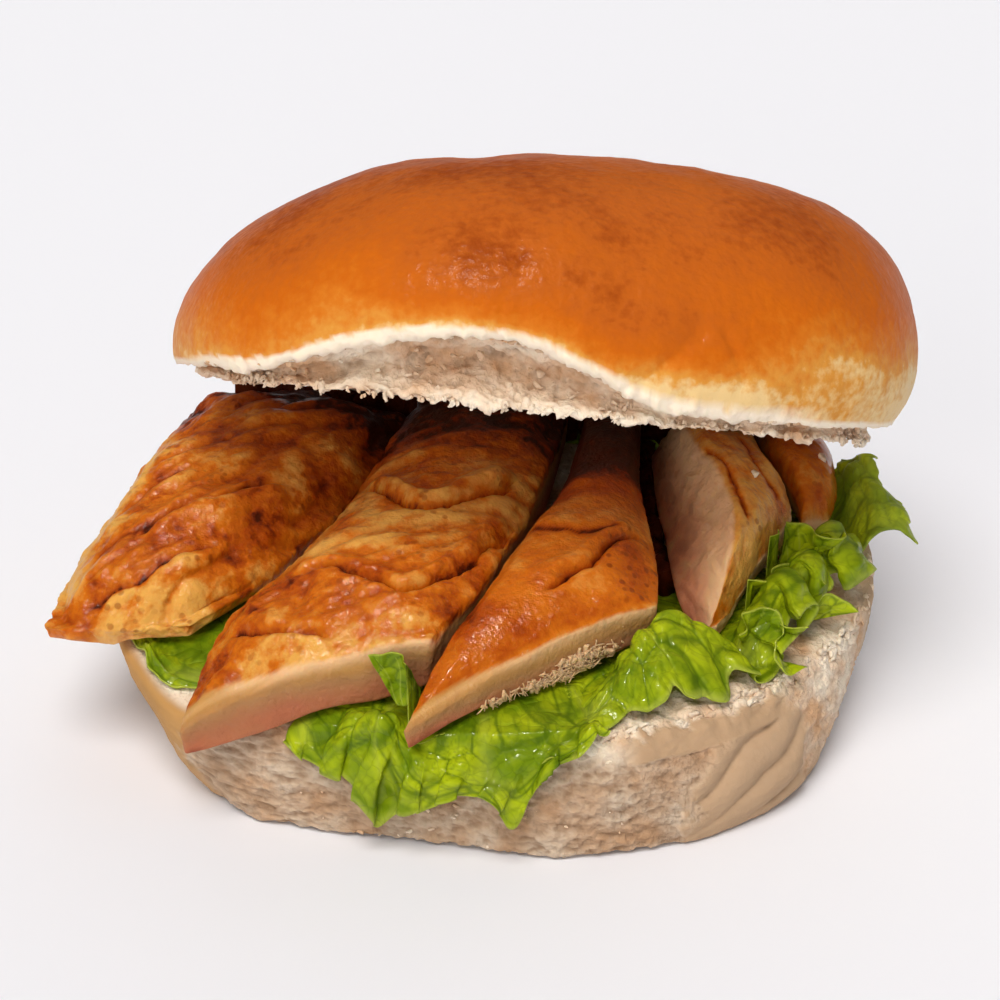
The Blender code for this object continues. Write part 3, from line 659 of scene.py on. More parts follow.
def add_node(tree, kind, inputs=(), stops=(), **settings):
    """Adds a shader node, sets it and its colour stops, and links or fills its sockets."""
    node = tree.nodes.new("ShaderNode" + kind)
    for name, value in settings.items():
        setattr(node, name, value)
    for socket, value in dict(inputs).items():
        if isinstance(value, bpy.types.NodeSocket):
            tree.links.new(value, node.inputs[socket])
        else:
            node.inputs[socket].default_value = value
    for k, (place, colour) in enumerate(stops):
        elements = node.color_ramp.elements
        stop = elements[k] if k < len(elements) else elements.new(place)
        stop.position, stop.color = place, opaque(colour)
    return node


def mask(tree, name):
    """A mask stored on the points of the piece, 0 where it has none."""
    return add_node(tree, "Attribute", attribute_name=name).outputs["Fac"]


def mottle_of(tree, place, size, detail=4.0):
    """Smooth noise from 0 to 1, with patches of about `size` mm."""
    inputs = {"Vector": place, "Scale": per_metre(size), "Detail": detail}
    return add_node(tree, "TexNoise", inputs).outputs["Fac"]


def multiply_add(tree, value, factor, added=0.0, clamp=False):
    """value * factor + added."""
    inputs = {0: value, 1: factor, 2: added}
    return add_node(tree, "Math", inputs, operation="MULTIPLY_ADD", use_clamp=clamp).outputs[0]


def mix(tree, share, colour, other):
    """A colour that turns into the other one where the share is 1."""
    inputs = {0: share, 6: opaque(colour), 7: opaque(other)}
    return add_node(tree, "Mix", inputs, data_type="RGBA").outputs[2]


def between(tree, share, low, high):
    """A number that goes from low to high as the share goes from 0 to 1."""
    return add_node(tree, "Mix", {0: share, 2: low, 3: high}).outputs[0]


def ramp(tree, level, *stops):
    """A colour for each level, through stops of a level and a colour."""
    return add_node(tree, "ValToRGB", {"Fac": level}, stops).outputs["Color"]


def fine_relief(tree, height, strength, depth):
    """Relief too fine for the mesh, `depth` mm deep."""
    inputs = {"Height": height, "Strength": strength, "Distance": depth * MM}
    return add_node(tree, "Bump", inputs).outputs[0]


def new_finish(name):
    """An empty material, its node tree, and the place on the piece, for its textures."""
    made = bpy.data.materials.new(name)
    made.use_nodes = True
    tree = made.node_tree
    tree.nodes.clear()
    return made, tree, add_node(tree, "TexCoord").outputs["Object"]


def finished(made, surface):
    """The material, with this shader as its surface."""
    add_node(made.node_tree, "OutputMaterial", {"Surface": surface.outputs[0]})
    return made


def scatter(weight, *depths):
    """Settings for light that goes this far into the food in red, green and blue, in mm."""
    radius = tuple(depth * MM for depth in depths)
    return {"Subsurface Weight": weight, "Subsurface Radius": radius, "Subsurface Scale": 1.0}


WARM_GLOSS = "#ffc890"  # gloss under a warm kitchen light


def baked_crust(bread):
    """Milk-bread crust, brushed with egg and baked: a thin brown skin with a satin egg shine, fine
    blisters that sparkle, and a pale foot where the dough was shaded by its neighbour."""
    made, tree, place = new_finish("egg_washed_milk_bread_crust")
    torn = mask(tree, "torn")
    # Browning drifts over 20 mm patches, and the skin is freckled at about 1 mm.
    freckles = mottle_of(tree, place, 1.4)
    drift = multiply_add(tree, mottle_of(tree, place, 20, detail=3.0), 0.70, -0.54)
    drift = multiply_add(tree, freckles, 0.40, drift)
    colour = ramp(
        tree, multiply_add(tree, mask(tree, "bake"), 1.0, drift),
        (0.00, "#e6c48a"), (0.14, bread.crust_foot), (0.34, bread.crust_side),
        (0.53, bread.crust_middle), (0.82, bread.crust_top), (1.00, "#9a430e"),
    )
    pores = {"Vector": place, "Scale": per_metre(0.9)}
    pores = add_node(tree, "TexVoronoi", pores, feature="SMOOTH_F1").outputs[0]
    relief = fine_relief(tree, multiply_add(tree, pores, 0.5, freckles), 0.6, 0.32)
    satin = multiply_add(tree, freckles, 0.25, 0.33)
    return finished(made, add_node(tree, "BsdfPrincipled", {
        "Base Color": mix(tree, torn, colour, bread.crumb), "Normal": relief,
        "Roughness": between(tree, torn, satin, 0.9), "IOR": 1.45, **scatter(0.12, 2.0, 1.0, 0.4),
        "Coat Weight": 0.035, "Coat Roughness": 0.16, "Coat Normal": relief,
        "Specular IOR Level": 0.10, "Specular Tint": opaque(WARM_GLOSS),
    }))


def torn_crumb(bread):
    """White bread crumb, torn by hand: dull, soft and full of 1 to 2 mm holes, whose walls stay paler because
    painted shade darkens the holes; painted shade also darkens the heel's torn front and the folds of its
    skin. Light spreads a little way into it."""
    made, tree, place = new_finish("torn_white_crumb")
    skin = mask(tree, "skin")
    colour = ramp(tree, mottle_of(tree, place, 7), (0.34, bread.crumb_shade), (0.62, bread.crumb))
    # Painted shade: darker crumb down in the holes, in the folds of the heel's skin and over the heel's torn
    # front.
    colour = mix(tree, mask(tree, "pit"), colour, bread.crumb_pit)
    colour = mix(tree, skin, colour, bread.skin)
    colour = mix(tree, mask(tree, "tan"), colour, bread.tan)
    holes = add_node(tree, "TexVoronoi", {"Vector": place, "Scale": per_metre(1.3)}).outputs[0]
    height = multiply_add(tree, holes, 0.6, mottle_of(tree, place, 0.8))
    height = multiply_add(tree, height, multiply_add(tree, skin, -0.85, 1.0))  # the skin is smoother
    return finished(made, add_node(tree, "BsdfPrincipled", {
        "Base Color": colour, "Normal": fine_relief(tree, height, 0.8, 0.7),
        "Roughness": 0.85, "IOR": 1.40, **scatter(0.12, 1.2, 0.8, 0.5), "Specular IOR Level": 0.2,
    }))


def glazed_fillet(filling):
    """Smoked fillet, sliced: an orange-brown smoked skin under a wet sweet glaze with dark freckles, and
    matt, fibrous pale flesh where it was cut. The glaze turns deeper and browner in the folds and towards the
    back of the slices: partly glaze that pools in the folds, partly painted shade."""
    made, tree, place = new_finish("glazed_smoked_fillet")
    cut, pale = mask(tree, "cut"), mask(tree, "pale")
    patches, fine = mottle_of(tree, place, 9, detail=5.0), mottle_of(tree, place, 1.0)
    # Glaze: thin and amber on the ropes of muscle, thick and brown between them, stained every 3 mm.
    stains = {"Vector": place, "Scale": per_metre(3.2), "Detail": 4.0, "Roughness": 0.6, "Distortion": 0.2}
    stains = add_node(tree, "TexNoise", stains).outputs["Fac"]
    stains = add_node(tree, "MapRange", {0: stains, 1: 0.44, 2: 0.66, 3: -0.16, 4: 0.22}).outputs[0]
    depth = multiply_add(tree, mask(tree, "rope"), -0.30, patches)
    depth = multiply_add(tree, stains, mask(tree, "mottle"), depth)
    # Darker in the folds, at the back of the slices and on the scraps behind them: partly glaze pooled in the
    # folds, partly painted shade.
    pooled_glaze_and_shade = add_node(tree, "Math", {0: mask(tree, "fold"), 1: 1.8}, operation="POWER").outputs[0]
    # The pale mask lightens the glaze: partly paler glaze, partly painted light that lifts the crown's shadow
    # on the middle slices.
    for share, weight in ((pooled_glaze_and_shade, 0.75), (fine, 0.22), (pale, -0.50)):
        depth = multiply_add(tree, share, weight, depth)
    glaze = ramp(tree, depth, (0.12, filling.glaze_thin), (0.44, filling.glaze), (0.72, filling.glaze_deep),
                 (0.90, "#75290a"), (1.00, "#441606"))
    # Smoke freckles about 1 mm across.
    spots = add_node(tree, "TexVoronoi", {"Vector": place, "Scale": per_metre(1.7)}).outputs[0]
    spots = ramp(tree, spots, (0.24, (1, 1, 1)), (0.36, (0, 0, 0)))
    glaze = mix(tree, multiply_add(tree, spots, mask(tree, "char")), glaze, "#8a3c0a")
    tone = multiply_add(tree, patches, 0.5, -0.25)
    tone = multiply_add(tree, mask(tree, "pink"), 1.0, tone)
    flesh = ramp(tree, tone, (0.00, filling.flesh_soaked), (0.35, filling.flesh),
                 (0.75, filling.flesh_pink), (1.00, "#8c4a35"))
    flesh = mix(tree, pale, flesh, "#f2c89c")
    relief = fine_relief(tree, fine, 1.0, 0.34)
    gloss = multiply_add(tree, cut, -0.36, 0.46)
    return finished(made, add_node(tree, "BsdfPrincipled", {
        "Base Color": mix(tree, cut, glaze, flesh), "Normal": relief,
        "Roughness": between(tree, cut, 0.38, 0.55), "IOR": 1.42, **scatter(0.25, 3.0, 1.2, 0.5),
        "Coat Weight": multiply_add(tree, pooled_glaze_and_shade, -0.40, gloss, clamp=True),
        "Coat Roughness": 0.09, "Coat IOR": 1.45, "Coat Normal": relief,
        "Specular IOR Level": 0.15, "Specular Tint": opaque(WARM_GLOSS),
    }))


def lettuce_leaf(leaves):
    """Curly green lettuce, fresh and wet: a thin waxy leaf that light shines through, blistered between a net
    of veins, with pale yellow-green ribs and edges. The net is darker green: partly the veins' own colour,
    partly painted shade in the grooves between the blisters."""
    made, tree, place = new_finish("curly_green_lettuce")
    colour = ramp(tree, mottle_of(tree, place, 6, detail=3.0), (0.38, leaves.shade), (0.60, leaves.green))
    # Darker along the net of veins: partly the veins' own colour, partly painted shade in the grooves between
    # the blisters.
    colour = mix(tree, multiply_add(tree, mask(tree, "vein"), 0.75), colour, "#4f7008")
    paler = multiply_add(tree, mask(tree, "rib"), 0.7, mask(tree, "rim"), clamp=True)
    colour = mix(tree, paler, colour, leaves.rib)
    # Fine veins every 3 mm or so, on a grid that wanders by up to 6 mm, darker in the grooves between the
    # blisters: partly vein colour, partly painted shade.
    wander = {"Vector": place, "Scale": per_metre(6), "Detail": 2.0}
    wander = add_node(tree, "TexNoise", wander).outputs["Color"]
    bent = {0: wander, 1: (6 * MM,) * 3, 2: place}
    bent = add_node(tree, "VectorMath", bent, operation="MULTIPLY_ADD").outputs["Vector"]
    net = {"Vector": bent, "Scale": per_metre(3.2)}
    net = add_node(tree, "TexVoronoi", net, feature="DISTANCE_TO_EDGE").outputs["Distance"]
    lines = add_node(tree, "MapRange", {0: net, 1: 0.0, 2: 0.06, 3: 0.22, 4: 0.0}).outputs[0]
    colour = mix(tree, lines, colour, "#4c6d08")
    domes = add_node(tree, "MapRange", {0: net, 1: 0.0, 2: 0.30, 3: 0.0, 4: 1.0}).outputs[0]
    height = multiply_add(tree, mottle_of(tree, place, 0.8, detail=3.0), 0.4, domes)
    relief = fine_relief(tree, height, 0.6, 0.3)
    waxy = add_node(tree, "BsdfPrincipled", {
        "Base Color": colour, "Roughness": 0.40, "Normal": relief, "IOR": 1.40,
        "Specular IOR Level": 0.3, "Specular Tint": opaque("#f4ffb0"),
        "Coat Weight": 0.35, "Coat Roughness": 0.12, "Coat Normal": relief,
    })
    lit = add_node(tree, "BsdfTranslucent", {"Color": colour, "Normal": relief})
    both = {0: leaves.glow, 1: waxy.outputs[0], 2: lit.outputs[0]}
    return finished(made, add_node(tree, "MixShader", both))


def matt_board(stage):
    """Painted board, rolled matt white: plain, so that only soft shadows show on it."""
    made, tree, place = new_finish("matt_white_painted_board")
    roller = fine_relief(tree, mottle_of(tree, place, 3, detail=2.0), 0.02, 0.05)
    return finished(made, add_node(tree, "BsdfPrincipled", {
        "Base Color": opaque(stage.floor), "Roughness": 0.9, "Specular IOR Level": 0.1, "Normal": roller,
    }))


# Bread ----------------------------------------------------------------------------------------

CRUST_ROWS, CRUST_COLUMNS = 92, 440
RAGGED_ROWS = 14  # rows of the crust that follow its ragged edge
CRUMB_ROWS, CRUMB_COLUMNS = 46, 480
HEEL_ROWS, HEEL_COLUMNS = 78, 520
FRONT_BIAS = 0.42  # how much closer the columns stand at the mouth than at the back
# Stretches of the crown, as angles
CROWN_TORN = (205, 312)  # where its edge was pulled off the next roll
CROWN_LEFT = (176, 240)
CROWN_MOUTH = (240, 283)
CROWN_SHADED = (298, 348)  # the pale foot at the right
CROWN_SCORCHED = (238, 312)
CROWN_RAGGED = (200, 330)  # where the crumb's foot is torn most
CROWN_TAGS = (204, 338)  # where tags of crumb hang
CRUST_TAGS = (206, 330)  # where smaller tags stand on the edge of the crust
# The turned-under lip, inwards and up from the torn edge, drawn for a lip LIP_DRAWN thick
LIP_DRAWN = 1.6
LIP_PROFILE = ((0.25, -0.45), (0.65, -0.8), (1.15, -0.85), (1.6, -0.5), (2.0, 0.4), (2.4, 2.0), (4.0, 5.0))
LIP_ROOM = 1.3  # how far the crumb stands back from the outside of the crust
FOOT_SHARE = 0.66  # share of its set-back that the crumb has at its foot
ON_WALL_SHARE = 0.35  # share of the tags that stand on the crumb's wall and not at its foot
CRUST_TAG_SHARE = 0.7  # tags on the crust for each tag of crumb
# Splits and folds in the crown's skin, as points of the crown in its flat pose, with width and depth
CROWN_CRACKS = (
    (((22.4, -46.6, 12.3), (24.1, -46.6, 9.7), (25.9, -45.1, 4.9), (26.6, -41.6, 0.0)), 0.45, 0.7),
    (((-7.8, -40.4, 27.8), (-7.2, -47.7, 19.0), (-6.5, -49.7, 9.3)), 0.55, 0.45),
    (((11.2, -48.2, 3.4), (14.3, -48.5, 7.2), (18.8, -47.5, 11.9)), 1.6, 0.9),
    (((19.5, -47.5, 11.0), (15.5, -48.6, 7.4), (13.0, -48.6, 5.4)), 0.5, 0.5),
)
# Where the heel's skin begins at the right of its torn front: height, then angle
HEEL_SKIN_EDGE = ((0.0, 299.0), (2.8, 300.0), (10.9, 301.0), (15.7, 308.0), (17.9, 320.0), (19.1, 337.0),
                  (19.7, 353.0), (21.5, 372.0))
HEEL_SKIN_LEFT = 217 + 360  # where the baked skin ends, at the left of the torn front
# The right end of the heel's front, as angles that run on past 360
HEEL_RIPPED = (323, 352)  # where the skin is gone again
HEEL_FLUFFY = (274, 372)  # whiter, lumpier crumb along the rim
HEEL_FLAP = (291, 321)  # a smooth cream flap under that rim
HEEL_FOLDED = (299, 330)  # folded skin
HEEL_RIM = ((272, 20.0), (285, 20.0), (300, 20.2), (320, 20.0), (345, 20.0), (372, 21.0))  # angle, height
FOLD_PERIOD = 5.0
HEEL_TORN_FACE, HEEL_TORN_RIM = (231, 300), (276, 368)  # where shreds stand, on the face and along the rim


def columns_round(count):
    """Angles round a turned piece, closer together at the mouth."""
    even = np.linspace(0, 2 * np.pi, count, endpoint=False)
    return even - FRONT_BIAS * np.cos(even)


def closed_rows(rows, first, last):
    """A turned piece's points: its rows, between a first and a last point. Also each point's row."""
    count, columns = rows.shape[:2]
    points = np.concatenate([[first], rows.reshape(-1, 3), [last]])
    return points, np.concatenate([[0], np.repeat(np.arange(count), columns), [count]])


def everywhere(values, rows):
    """Values for the columns of a turned piece, on all its points."""
    return np.concatenate([[0], np.tile(values, rows), [0]])


def fading(height, over):
    """1 up to a height of 0, and less and less above it."""
    return np.exp(-np.clip(height, 0, 50) / over)


def crown_lip(theta):
    """The crown's lip: its radius, the height of its torn edge, how far the crumb is set back, how
    plump the crown is there, from 0 at the slack left to 1, and how far its edge tucks in."""
    edge, set_back = round_table(CROWN_EDGE, np.mod(np.degrees(theta), 360))
    reach = np.abs(np.cos(theta) / CROWN_HALF_WIDTH) ** CROWN_SQUARENESS
    reach = reach + np.abs(np.sin(theta) / CROWN_HALF_DEPTH) ** CROWN_SQUARENESS
    fullness = 0.5 + 0.5 * np.cos(theta)
    return reach ** (-1 / CROWN_SQUARENESS), edge, set_back, fullness, 0.02 + 0.05 * fullness


def crown_dome(theta, share):
    """Points of the crust's outside, from its top at share 0 to its torn edge at share 1."""
    outline, edge, _, fullness, tuck = crown_lip(theta)
    turn = math.pi / 2 * share
    radius = outline * np.sin(turn) ** (0.84 - 0.32 * fullness)
    up = np.maximum(np.cos(turn), 0.0) ** (1.00 - 0.33 * fullness)
    tall = CROWN_HEIGHT - CROWN_SLACK * (1 - fullness) * np.sin(turn)
    z = edge + (tall - edge) * up
    radius = radius * (1 - tuck * np.clip(1 - z / 11.0, 0, 1) ** 2)
    points = around(theta, radius, z)
    for start, end, half_width, depth in CROWN_CREASES:
        away = beside_line(points[:, :2], (start, end))[0]
        points[:, 2] -= depth * np.exp(-((away / half_width) ** 2))
    points[:, 2] += 0.5 * bumps(points, 22.0, 9)
    return points


def stand_crown(points):
    """Crown points from its flat pose to their place over the filling."""
    placed = np.array(crown_frame())
    return points @ placed[:3, :3].T + placed[:3, 3]


def add_crown_crust(bread):
    """The browned outside of the crown and its torn, turned-under lip."""
    theta = columns_round(CRUST_COLUMNS)
    shares = np.linspace(0, 1, CRUST_ROWS + 1)[1:] ** 0.92
    dome = crown_dome(np.tile(theta, CRUST_ROWS), np.repeat(shares, CRUST_COLUMNS))
    dome = dome.reshape(CRUST_ROWS, CRUST_COLUMNS, 3)
    degrees = np.mod(np.degrees(theta), 360)
    front = window(degrees, *CROWN_TORN, 14)
    ring = around(theta, 40, 0.0)
    ragged = 0.55 * grain(ring, 4.0, 41) + 0.30 * grain(ring, 1.3, 42) + 0.15 * grain(ring, 0.6, 43)
    fading_in = np.linspace(0, 1, RAGGED_ROWS) ** 1.5
    dome[-RAGGED_ROWS:, :, 2] += front * ragged * fading_in[:, None]
    rows = [dome]
    for step_in, step_up in np.array(LIP_PROFILE) * bread.lip / MM / LIP_DRAWN:
        rows.append([dome[-1] - around(theta, step_in, -step_up)])
    top = crown_dome(np.array([0.0]), np.array([0.001]))[0]
    points, row = closed_rows(np.concatenate(rows), top, (0, 0, 16.0))
    row_count = row[-1]
    height = points[:, 2] - everywhere(crown_lip(theta)[1], row_count)
    toward_front, toward_left = everywhere(-np.sin(theta), row_count), everywhere(-np.cos(theta), row_count)
    angle = everywhere(degrees, row_count)
    on_dome = row < CRUST_ROWS
    # Browning climbs from the foot. The left side caught less heat, the right foot was shaded.
    level = height / (30.0 - 6.0 * np.clip(toward_left, 0, 1))
    bake = smooth(-0.12, 0.80, level + 0.06 * fluff(points, 14.0, 51) + 0.03 * fluff(points, 3.0, 52))
    bake += 0.25 * window(angle, *CROWN_LEFT, 20) * fading(height, 10.0)
    bake += 0.48 * window(angle, *CROWN_MOUTH, 16) * smooth(0.3, 2.2, height) * fading(height, 9.0)
    bake -= 0.80 * window(angle, *CROWN_SHADED, 20) * fading(height, 9.0)
    scorched = window(angle, *CROWN_SCORCHED, 24) * smooth(2.0, 7.0, height) * smooth(18.0, 10.0, height)
    bake = np.clip(bake, 0, 1) * 0.84 + 0.30 * scorched
    bake *= 1 - 0.8 * fading(height, 1.5) * np.clip(toward_front + 0.3, 0, 1)
    torn = everywhere(front, row_count) * smooth(0.75, 0.2, height + 0.35 * grain(points, 1.6, 53))
    torn = np.where(on_dome, torn, 1.0)
    piece = add_piece("crown_crust", points, turned_faces(row_count, CRUST_COLUMNS))
    set_masks(piece, bake=bake, torn=torn)
    points, normals = points_of(piece)
    relief = 0.22 * grain(points, 9.0, 61) + 0.10 * grain(points, 4.0, 62)
    relief += 0.035 * fluff(points, 1.4, 63, 2) + 0.50 * torn * fluff(points, 1.5, 64, 4)
    relief += on_dome * 0.05 * (0.6 - cells(points, 1.3, 68)[0]) * (1 - torn)
    # Small wrinkles where the skin pulled tight above the lip.
    tight = fading(height - 1.0, 5.0) * np.clip(toward_front, 0, 1)
    relief += 0.28 * tight * grain(points, (2.2, 2.2, 5.0), 65)
    wandering = points + 0.35 * grain_3d(points, 2.5, 66)
    for line, width, depth in CROWN_CRACKS:
        relief -= on_dome * depth * np.exp(-beside_line(wandering, line)[0] / width)
    set_points(piece, stand_crown(points + normals * relief[:, None]))
    return piece


def add_crown_crumb():
    """The crumb inside the crown: set back under the lip, torn into a ragged fringe at its foot."""
    theta = columns_round(CRUMB_COLUMNS)
    outline, edge, set_back, _, tuck = crown_lip(theta)
    lip = outline * (1 - tuck)
    front = window(np.mod(np.degrees(theta), 360), *CROWN_RAGGED, 20)
    ring = around(theta, 50, 0.0)
    teeth = 0.55 * bumps(ring, 5.0, 6) + 0.8 * fluff(ring, 2.2, 71, 3)
    foot = -CROWN_HANG * (0.5 + 0.5 * front) + (0.25 + 0.65 * front) * teeth
    top = edge - 0.4
    # Hidden rows behind the lip: how far in from it, and how far up
    rows = [(lip - inward, top + up) for inward, up in ((3.0, 3.2), (2.3, 1.2), (1.65, 0.0))]
    hidden = len(rows)
    for down in np.linspace(0.03, 1.0, CRUMB_ROWS):
        hollow = 0.72 + 0.45 * math.sin(math.pi * min(down * 1.15, 1.0)) - 0.06 * down
        sunk = set_back * hollow * min(1.0, 0.35 + 3.5 * down)
        rows.append((lip - LIP_ROOM - sunk, top + (foot - top) * down))
    bottom = lip - LIP_ROOM - set_back * FOOT_SHARE
    for inward, up in ((0.35, -0.12), (0.8, -0.05), (1.3, 0.15), (2.0, 0.5)):
        rows.append((bottom - inward, foot + up))
    for share in np.linspace(0.95, 0.06, 30):
        lift = -0.6 + 2.0 * (1 - share) * np.clip(-np.sin(theta), 0, 1)
        near = smooth(0.80, 0.97, share)
        rows.append(((bottom - 2.0) * share, lift * (1 - near) + (foot + 0.6) * near))
    radius, height = np.array(rows).transpose(1, 0, 2)
    points, row = closed_rows(around(theta, radius, height), (0, 0, 9.0), (0, 0, 1.2))
    piece = add_piece("crown_crumb", points, turned_faces(len(rows), CRUMB_COLUMNS))
    points, normals = points_of(piece)
    near, next_near, _ = cells(points, (2.4, 2.4, 1.6), 81)
    holes = smooth(0.0, 0.35, next_near - near) * smooth(0.25, 0.8, grain(points, 4.0, 83) + 0.3)
    relief = 0.45 * fluff(points, (3.0, 3.0, 1.8), 82, 5) - 0.40 * holes + 0.5 * grain(points, 6.0, 84)
    relief += 0.22 * fluff(points, 1.0, 85, 2)
    underside = smooth(hidden + CRUMB_ROWS, hidden + CRUMB_ROWS + 6, row) > 0.5
    relief = np.where(underside, np.abs(relief) * 0.8, relief)
    # Painted shade: the crumb is darker where its relief sinks.
    set_masks(piece, pit=smooth(0.1, -0.9, relief) * 0.8)
    free = smooth(2.0, 5.0, row)
    set_points(piece, stand_crown(points + normals * (relief * free)[:, None]))
    return piece


def fringe_spot(degrees):
    """The crown's foot at an angle: the angle in radians, the outside radius, edge and set-back."""
    theta = math.radians(degrees)
    outline, edge, set_back, _, tuck = (float(v[0]) for v in crown_lip(np.array([theta])))
    return theta, outline * (1 - tuck), edge, set_back


def add_crown_fringe(bread):
    """Tags of crumb that hang from the torn foot of the crown, each a short chain of lumps."""
    draw = np.random.default_rng(17)
    lumps = []
    for _ in range(int(bread.shreds)):
        degrees = draw.uniform(*CROWN_TAGS)
        theta, outside, edge, set_back = fringe_spot(degrees)
        out = around(theta, 1.0, -0.2)
        out /= np.linalg.norm(out)
        sideways = around(theta + math.pi / 2, 1.0, 0.0)
        on_wall = draw.random() < ON_WALL_SHARE
        radius = outside - LIP_ROOM - set_back * FOOT_SHARE - draw.uniform(-0.15, 0.6)
        height = -CROWN_HANG + draw.uniform(-0.1, 0.6)
        if on_wall:
            climb = draw.random()
            height = -CROWN_HANG + climb * (edge + CROWN_HANG) * 0.8
            radius -= set_back * 0.25 * math.sin(math.pi * climb)
        spot = around(theta, radius, height)
        size = draw.uniform(0.20, 0.50)
        way = sideways * draw.uniform(-1.2, 1.2) - np.array([0, 0, 0.25 if on_wall else 0.8])
        tuft = grain(np.array([[degrees, 0.0, 0.0]]), 5.0, 92)[0] + 0.6 * draw.uniform(-1, 1)
        for _ in range(1 if on_wall or tuft < 0.1 else 2 if tuft < 0.6 else 3):
            along = way + sideways * draw.uniform(-0.9, 0.9)
            sizes = size * draw.uniform((1.0, 0.7, 0.6), (1.9, 1.0, 0.9))
            lumps.append((spot.copy(), out, along, sizes))
            spot += way / np.linalg.norm(way) * size * 1.1 + sideways * draw.uniform(-0.3, 0.3)
            size *= 0.72
    for _ in range(int(bread.shreds * CRUST_TAG_SHARE)):
        theta, outside, edge, _ = fringe_spot(draw.uniform(*CRUST_TAGS))
        radius = outside - draw.uniform(0.3, 1.7)
        spot = around(theta, radius, edge - 0.5 + draw.uniform(-0.35, 0.25))
        along = around(theta + math.pi / 2, 1.0, draw.uniform(-0.7, 0.7))
        size = draw.uniform(0.18, 0.42)
        sizes = size * np.array([draw.uniform(1.2, 2.4), 1.0, 0.8])
        lumps.append((spot, around(theta, 1.0, -0.8) / math.hypot(1, 0.8), along, sizes))
    points, faces = scraps(lumps, 91)
    piece = add_piece("crown_fringe", points, faces)
    set_points(piece, stand_crown(points))
    return piece


def heel_side(theta, down):
    """The heel's side, from its rim at 0 to its base at 1: radius and height."""
    base, belly, rim, height = heel_outline(theta)
    swell = 2 * belly - (rim + base) / 2
    radius = (1 - down) ** 2 * rim + 2 * down * (1 - down) * swell + down**2 * base
    return radius, height * (1 - down) ** 1.15


